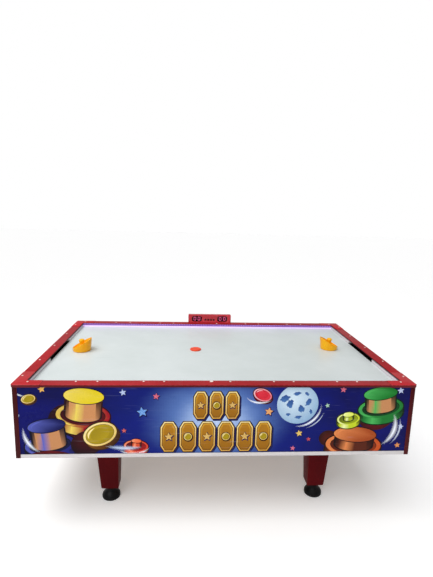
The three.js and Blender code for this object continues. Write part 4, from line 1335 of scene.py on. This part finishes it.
def drawLongSide(art, inletSide):
    top = rimTop
    drawMoon(art, 0.364, top - 0.098, 0.097, 1)
    for x, drop, size, turn, light, deep in stars:
        drawStar(art, x, top + drop, size, turn, light, deep, "1A1440", 1)
    scarlet = ("A01020", "5A0610", "D0905C", "E8D018", "26040A", "F0D860")
    navy = ("22267A", "10143E", "C88C5C", "141858", "08081C", "5A64C0")
    if not inletSide:
        drawShade(art, (-0.625, top - 0.200, 0.150, 0.105, -20), 2, ("6A0A16", "1E040A"), (0.025, 0.020), 0.16, 4)
    drawMallet(art, -0.615, top - 0.150, 0.240, 0.150, -4, scarlet, 3, 0.66, 0.62)
    drawMallet(art, -0.765, top - 0.292, 0.225, 0.130, 8, navy, 15, 0.66, 0.72)
    drawShade(art, (-0.765, top - 0.352, 0.100, 0.030, 0), 27, ("6A1014", "2A0408"), (0.0, 0.012), 0.1)
    drawPuck(art, -0.851, top - 0.070, 0.062, 0.040, 14, (0.004, -0.006), gold, 3)
    if not inletSide:
        drawShade(art, (-0.600, top - 0.285, 0.075, 0.060, 20), 27, ("4A0A10", "16040A"), (0.0, 0.023), 0.09)
        drawPuck(art, -0.541, top - 0.241, 0.155, 0.110, 22, (0.012, -0.016), gold, 28)
    drawMallet(art, -0.379, top - 0.302, 0.110, 0.072, -4, red, 3, 0.36, 0.36)
    drawPuck(art, 0.198, top - 0.052, 0.088, 0.058, -22, (0.003, -0.010), crimson, 4)
    green = ("1C7A30", "0A4A1C", "C88C5C", "147A28", "041C0A", "4CB85C")
    orange = ("C8501C", "8A300C", "5A2410", "A84A1C", "1E0804", "E88C50")
    lime = ("C8D828", "98A814", "B0C020", "E4F060", "2A3406", "F8FFB0")
    drawShade(art, (0.745, top - 0.165, 0.085, 0.065, 10), 2, ("7A0A14", "24040A"), (0.0, 0.0), 0.09)
    drawMallet(art, 0.762, top - 0.118, 0.215, 0.125, 6, green, 3, 0.66, 0.58)
    drawShade(art, (0.520, top - 0.270, 0.045, 0.040, 0), 14, ("5A1A0A", "1E0804"), (0.0, 0.0), 0.05)
    drawMallet(art, 0.645, top - 0.305, 0.270, 0.150, -4, orange, 15, 0.68, 0.36)
    drawMallet(art, 0.610, top - 0.172, 0.108, 0.074, 4, lime, 28, 0.42, 0.30)
    for places, drop, width, height in emblem:
        for i, x in enumerate(places):
            drawPlaque(art, x, top + drop, width, height, "puck" if i % 2 else "star", 3)
    tail = [(-0.520 + 0.009 * i, top - 0.300 - 0.0019 * i + 0.00008 * i * i) for i in range(20)]
    streaks = [  # path, width, colour, strength
        (arcPoints(-0.770, top - 0.215, 0.110, 0.120, 175, 75), 0.026, "F4F8FF", 0.85),
        (arcPoints(-0.885, top - 0.040, 0.030, 0.012, 200, 120, -20), 0.012, "FFFFFF", 0.8),
        (tail, 0.030, "A8CCF8", 0.75),
        (arcPoints(-0.392, top - 0.285, 0.082, 0.055, 215, 120), 0.020, "FFFFFF", 0.9),
        (arcPoints(0.190, top - 0.040, 0.075, 0.050, 205, 110), 0.014, "FFFFFF", 0.85),
        (arcPoints(0.364, top - 0.098, 0.112, 0.110, 265, 95), 0.018, "F4FAFF", 0.9),
        (arcPoints(0.372, top - 0.102, 0.124, 0.120, 285, 60), 0.009, "DCEBFF", 0.7),
        (arcPoints(0.730, top - 0.200, 0.110, 0.115, 285, 95, 10), 0.034, "FFFFFF", 0.85),
        (arcPoints(0.742, top - 0.205, 0.122, 0.126, 300, 70, 10), 0.014, "DCE6FF", 0.7),
    ]
    for points, width, code, strength in streaks:
        drawStreak(art, points, width, code, strength)


endPrint = {"middle": 0.165, "fromCentre": 0.215, "band": 0.27, "squeeze": 0.9, "leaveOut": 0.25}


# The ends carry the long side's stars, pushed to both sides of the puck return
def drawEnd(art, values):
    middle = cabinetBottom + values["middle"]
    drawPuck(art, -0.340, middle + 0.060, 0.120, 0.078, 18, (0.006, -0.012), gold, 3)
    drawPuck(art, 0.360, middle + 0.050, 0.110, 0.072, -20, (0.003, -0.010), crimson, 3)
    drawMallet(art, 0.250, middle - 0.110, 0.120, 0.080, -4, red, 3, 0.36, 0.40)
    for i, (x, drop, size, turn, light, deep) in enumerate(stars):
        place = (values["fromCentre"] + (abs(x) * values["squeeze"]) % values["band"]) * (-1 if i % 2 else 1)
        if abs(x) > values["leaveOut"]:
            drawStar(art, place, rimTop + drop, size, turn, light, deep, "1A1440", 1)


for name, turn in (("front", 0.0), ("rear", math.pi)):
    art = startArt(skinFace, panelWindow)
    drawLongSide(art, name == "rear")
    finishArt(art, name, turn)
for name, turn in (("right", math.pi / 2), ("left", -math.pi / 2)):
    art = startArt(endFace, endWindow)
    drawEnd(art, endPrint)
    finishArt(art, name, turn)
print("artwork done")


addCamera(viewing)
addStudio(studio)
